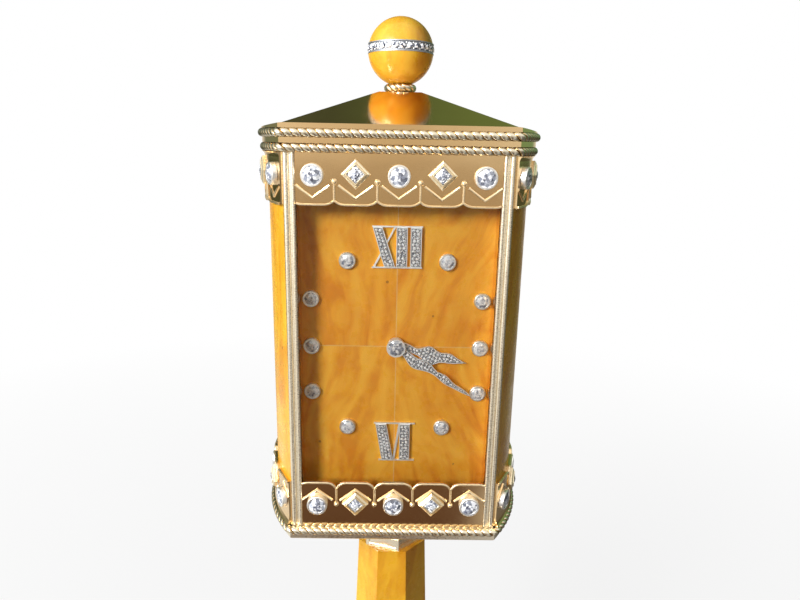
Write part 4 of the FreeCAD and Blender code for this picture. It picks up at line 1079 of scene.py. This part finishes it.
def painted_floor_reflection(tree, far, heading):
    """Painted reflection in the floor for glossy rays: brown close in front, pale to the left, grey to the
    right, olive behind, cream straight behind.
    """
    x, y, _ = axes_of(tree, heading)
    front = ramp(tree, stepped(tree, far, 0.2, 2.2),
                 [(0.0, (0.09, 0.045, 0.03)), (0.1, (0.17, 0.11, 0.075)),
                  (0.3, (0.4, 0.32, 0.23)), (1.0, (0.45, 0.38, 0.29))])
    colour = blend_colours(tree, stepped(tree, x, -0.25, -0.65), front, (0.86, 0.86, 0.82))
    right = ramp(tree, stepped(tree, x, 0.2, 0.9),
                 [(0.15, (0.72, 0.72, 0.7)), (0.5, (0.66, 0.66, 0.64)), (0.75, (0.16, 0.15, 0.13))])
    colour = blend_colours(tree, stepped(tree, x, 0.2, 0.3), colour, right)
    olive = maths(tree, "MULTIPLY", stepped(tree, far, 0.4, 0.75), stepped(tree, y, 0.0, 0.3))
    colour = blend_colours(tree, olive, colour, (0.075, 0.085, 0.045))
    straight = ramp(tree, stepped(tree, far, 0.1, 1.2),
                    [(0.0, (0.34, 0.28, 0.2)), (0.5, (0.6, 0.53, 0.42)), (1.0, CREAM)])
    return blend_colours(tree, stepped(tree, y, 0.82, 0.94), colour, straight)


def make_floor():
    """Pale floor: white with the clock's shadow for the camera, and a glowing painted reflection for what
    mirrors it.
    """
    size = 8.0
    corners = [(-size, -size, 0), (size, -size, 0), (size, size, 0), (-size, size, 0)]
    mesh = bpy.data.meshes.new("floor")
    mesh.from_pydata(corners, [], [(0, 1, 2, 3)])
    floor = placed("floor", mesh)
    material, tree, principled = new_material("pale_floor", Roughness=0.9)
    grain = noise(tree, place_of(tree), 3.0, 2.0)
    path = add_node(tree, "LightPath")
    pale = blend_colours(tree, grain, (0.5, 0.5, 0.5), (0.54, 0.54, 0.54))
    finished(tree, principled, blend_colours(tree, path.outputs["Is Diffuse Ray"], pale, (0.2, 0.19, 0.18)))
    place = object_place(tree)
    far = add_node(tree, "VectorMath", {0: place}, operation="LENGTH").outputs["Value"]
    heading = add_node(tree, "VectorMath", {0: place}, operation="NORMALIZE").outputs["Vector"]
    white = add_node(tree, "Emission", {"Color": (1, 1, 1, 1)})
    share = maths(tree, "MULTIPLY", path.outputs["Is Camera Ray"], stepped(tree, far, 0.2, 0.7, 0.82, 1.0))
    seen = mixed(tree, share, principled.outputs["BSDF"], white.outputs["Emission"])
    # Painted reflection: glossy rays see the floor glow with these colours, so the gold mirrors a painted
    # room.
    painted_reflection_glow = add_node(tree, "Emission", {"Color": painted_floor_reflection(tree, far, heading)})
    surface = mixed(tree, path.outputs["Is Glossy Ray"], seen, painted_reflection_glow.outputs["Emission"])
    tree.links.new(surface, tree.nodes["Material Output"].inputs["Surface"])
    mesh.materials.append(material)


def make_world():
    """White for the camera, a soft room for the light, and a room with an olive far side for gloss."""
    world = bpy.data.worlds.new("studio")
    bpy.context.scene.world = world
    world.use_nodes = True
    tree = world.node_tree
    room = tree.nodes["Background"]
    x, y, z = axes_of(tree, add_node(tree, "TexCoord").outputs["Generated"])
    across = stepped(tree, x, -0.75, 0.7)
    front = ramp(tree, across, [(0.0, (1.25, 1.25, 1.22)), (0.3, (1.0, 0.97, 0.92)),
                                (0.52, (0.62, 0.54, 0.42)), (0.7, (0.85, 0.85, 0.82)),
                                (0.88, (0.7, 0.7, 0.68)), (1.0, (0.2, 0.18, 0.15))])
    front = blend_colours(tree, stepped(tree, z, 0.15, 0.6), front, (1.3, 1.27, 1.2))
    back = ramp(tree, across, [(0.0, (0.2, 0.24, 0.17)), (0.45, (0.06, 0.075, 0.04)),
                               (0.6, (0.13, 0.2, 0.07)), (1.0, (0.2, 0.34, 0.17))])
    straight = maths(tree, "MULTIPLY", stepped(tree, y, 0.82, 0.94), stepped(tree, z, 0.3, 0.1))
    back = blend_colours(tree, straight, back, CREAM)
    tree.links.new(blend_colours(tree, stepped(tree, y, 0.0, 0.35), front, back), room.inputs["Color"])
    soft = ramp(tree, across, [(0.0, (0.66, 0.66, 0.66)), (0.45, (0.22, 0.22, 0.21)),
                               (0.8, (0.02, 0.018, 0.015))])
    glow = add_node(tree, "Background", {"Color": soft})
    white = add_node(tree, "Background", {"Color": (1, 1, 1, 1)})
    path = add_node(tree, "LightPath")
    lit = mixed(tree, path.outputs["Is Diffuse Ray"], room.outputs[0], glow.outputs[0])
    both = mixed(tree, path.outputs["Is Camera Ray"], lit, white.outputs[0])
    tree.links.new(both, tree.nodes["World Output"].inputs["Surface"])


def soft_light(name, place, target, size, power):
    data = bpy.data.lights.new(name, "AREA")
    data.shape = "DISK"
    data.size = size
    data.energy = power
    lamp = placed(name, data)
    lamp.location = place
    lamp.rotation_euler = (Vector(target) - Vector(place)).to_track_quat("-Z", "Y").to_euler()
    return lamp


def make_camera():
    """The photograph's own viewpoint, worked out from its vanishing points."""
    focal_px, width_px = 617.0, 800.0
    pitch, yaw, roll = math.radians(14.55), math.radians(0.82), math.radians(1.16)
    ahead = Vector((math.sin(yaw) * math.cos(pitch), math.cos(yaw) * math.cos(pitch), -math.sin(pitch)))
    right = Vector((math.cos(yaw), -math.sin(yaw), 0))
    down = ahead.cross(right)
    rolled_right = math.cos(roll) * right - math.sin(roll) * down
    rolled_down = math.sin(roll) * right + math.cos(roll) * down
    data = bpy.data.cameras.new("photo_view")
    data.sensor_width = 36.0
    data.lens = focal_px / width_px * data.sensor_width
    data.clip_start = 5 * MM
    camera = placed("photo_view", data)
    matrix = Matrix((rolled_right, -rolled_down, -ahead)).transposed().to_4x4()
    matrix.translation = EYE
    camera.matrix_world = matrix
    bpy.context.scene.camera = camera


dress_nodes()
make_ropes()
make_trims()
# Share of facets with a bright painted reflection: the marker stones get more.
set_round("round", ROUND_GIRDLE, wall=0.55 * MM, crown=0.62 * MM, bright=PAINTED_BRIGHT_SHARE)
set_round("marker", MARKER_GIRDLE, wall=0.5 * MM, crown=0.5 * MM, bright=0.7)
set_square()
set_hub()
pave("numeral_twelve", "clock_case")
pave("numeral_six", "clock_case")
pave("hour_hand", "hour_hand_wheel")
pave("minute_hand", "minute_hand_arbor")
pave_ball()
make_screws()
make_floor()
make_world()
soft_light("key", (-0.64, -0.7, 0.66), (0, 0, 0.22), size=0.45, power=17.8)
soft_light("fill", (0.7, -0.5, 0.5), (0, 0, 0.2), size=0.6, power=0.15)
rear = soft_light("rear", (0.3, 0.95, 0.42), (0, 0, 0.2), size=0.5, power=4.5)
rear.visible_glossy = False
make_camera()
bpy.context.scene.view_settings.view_transform = "Standard"
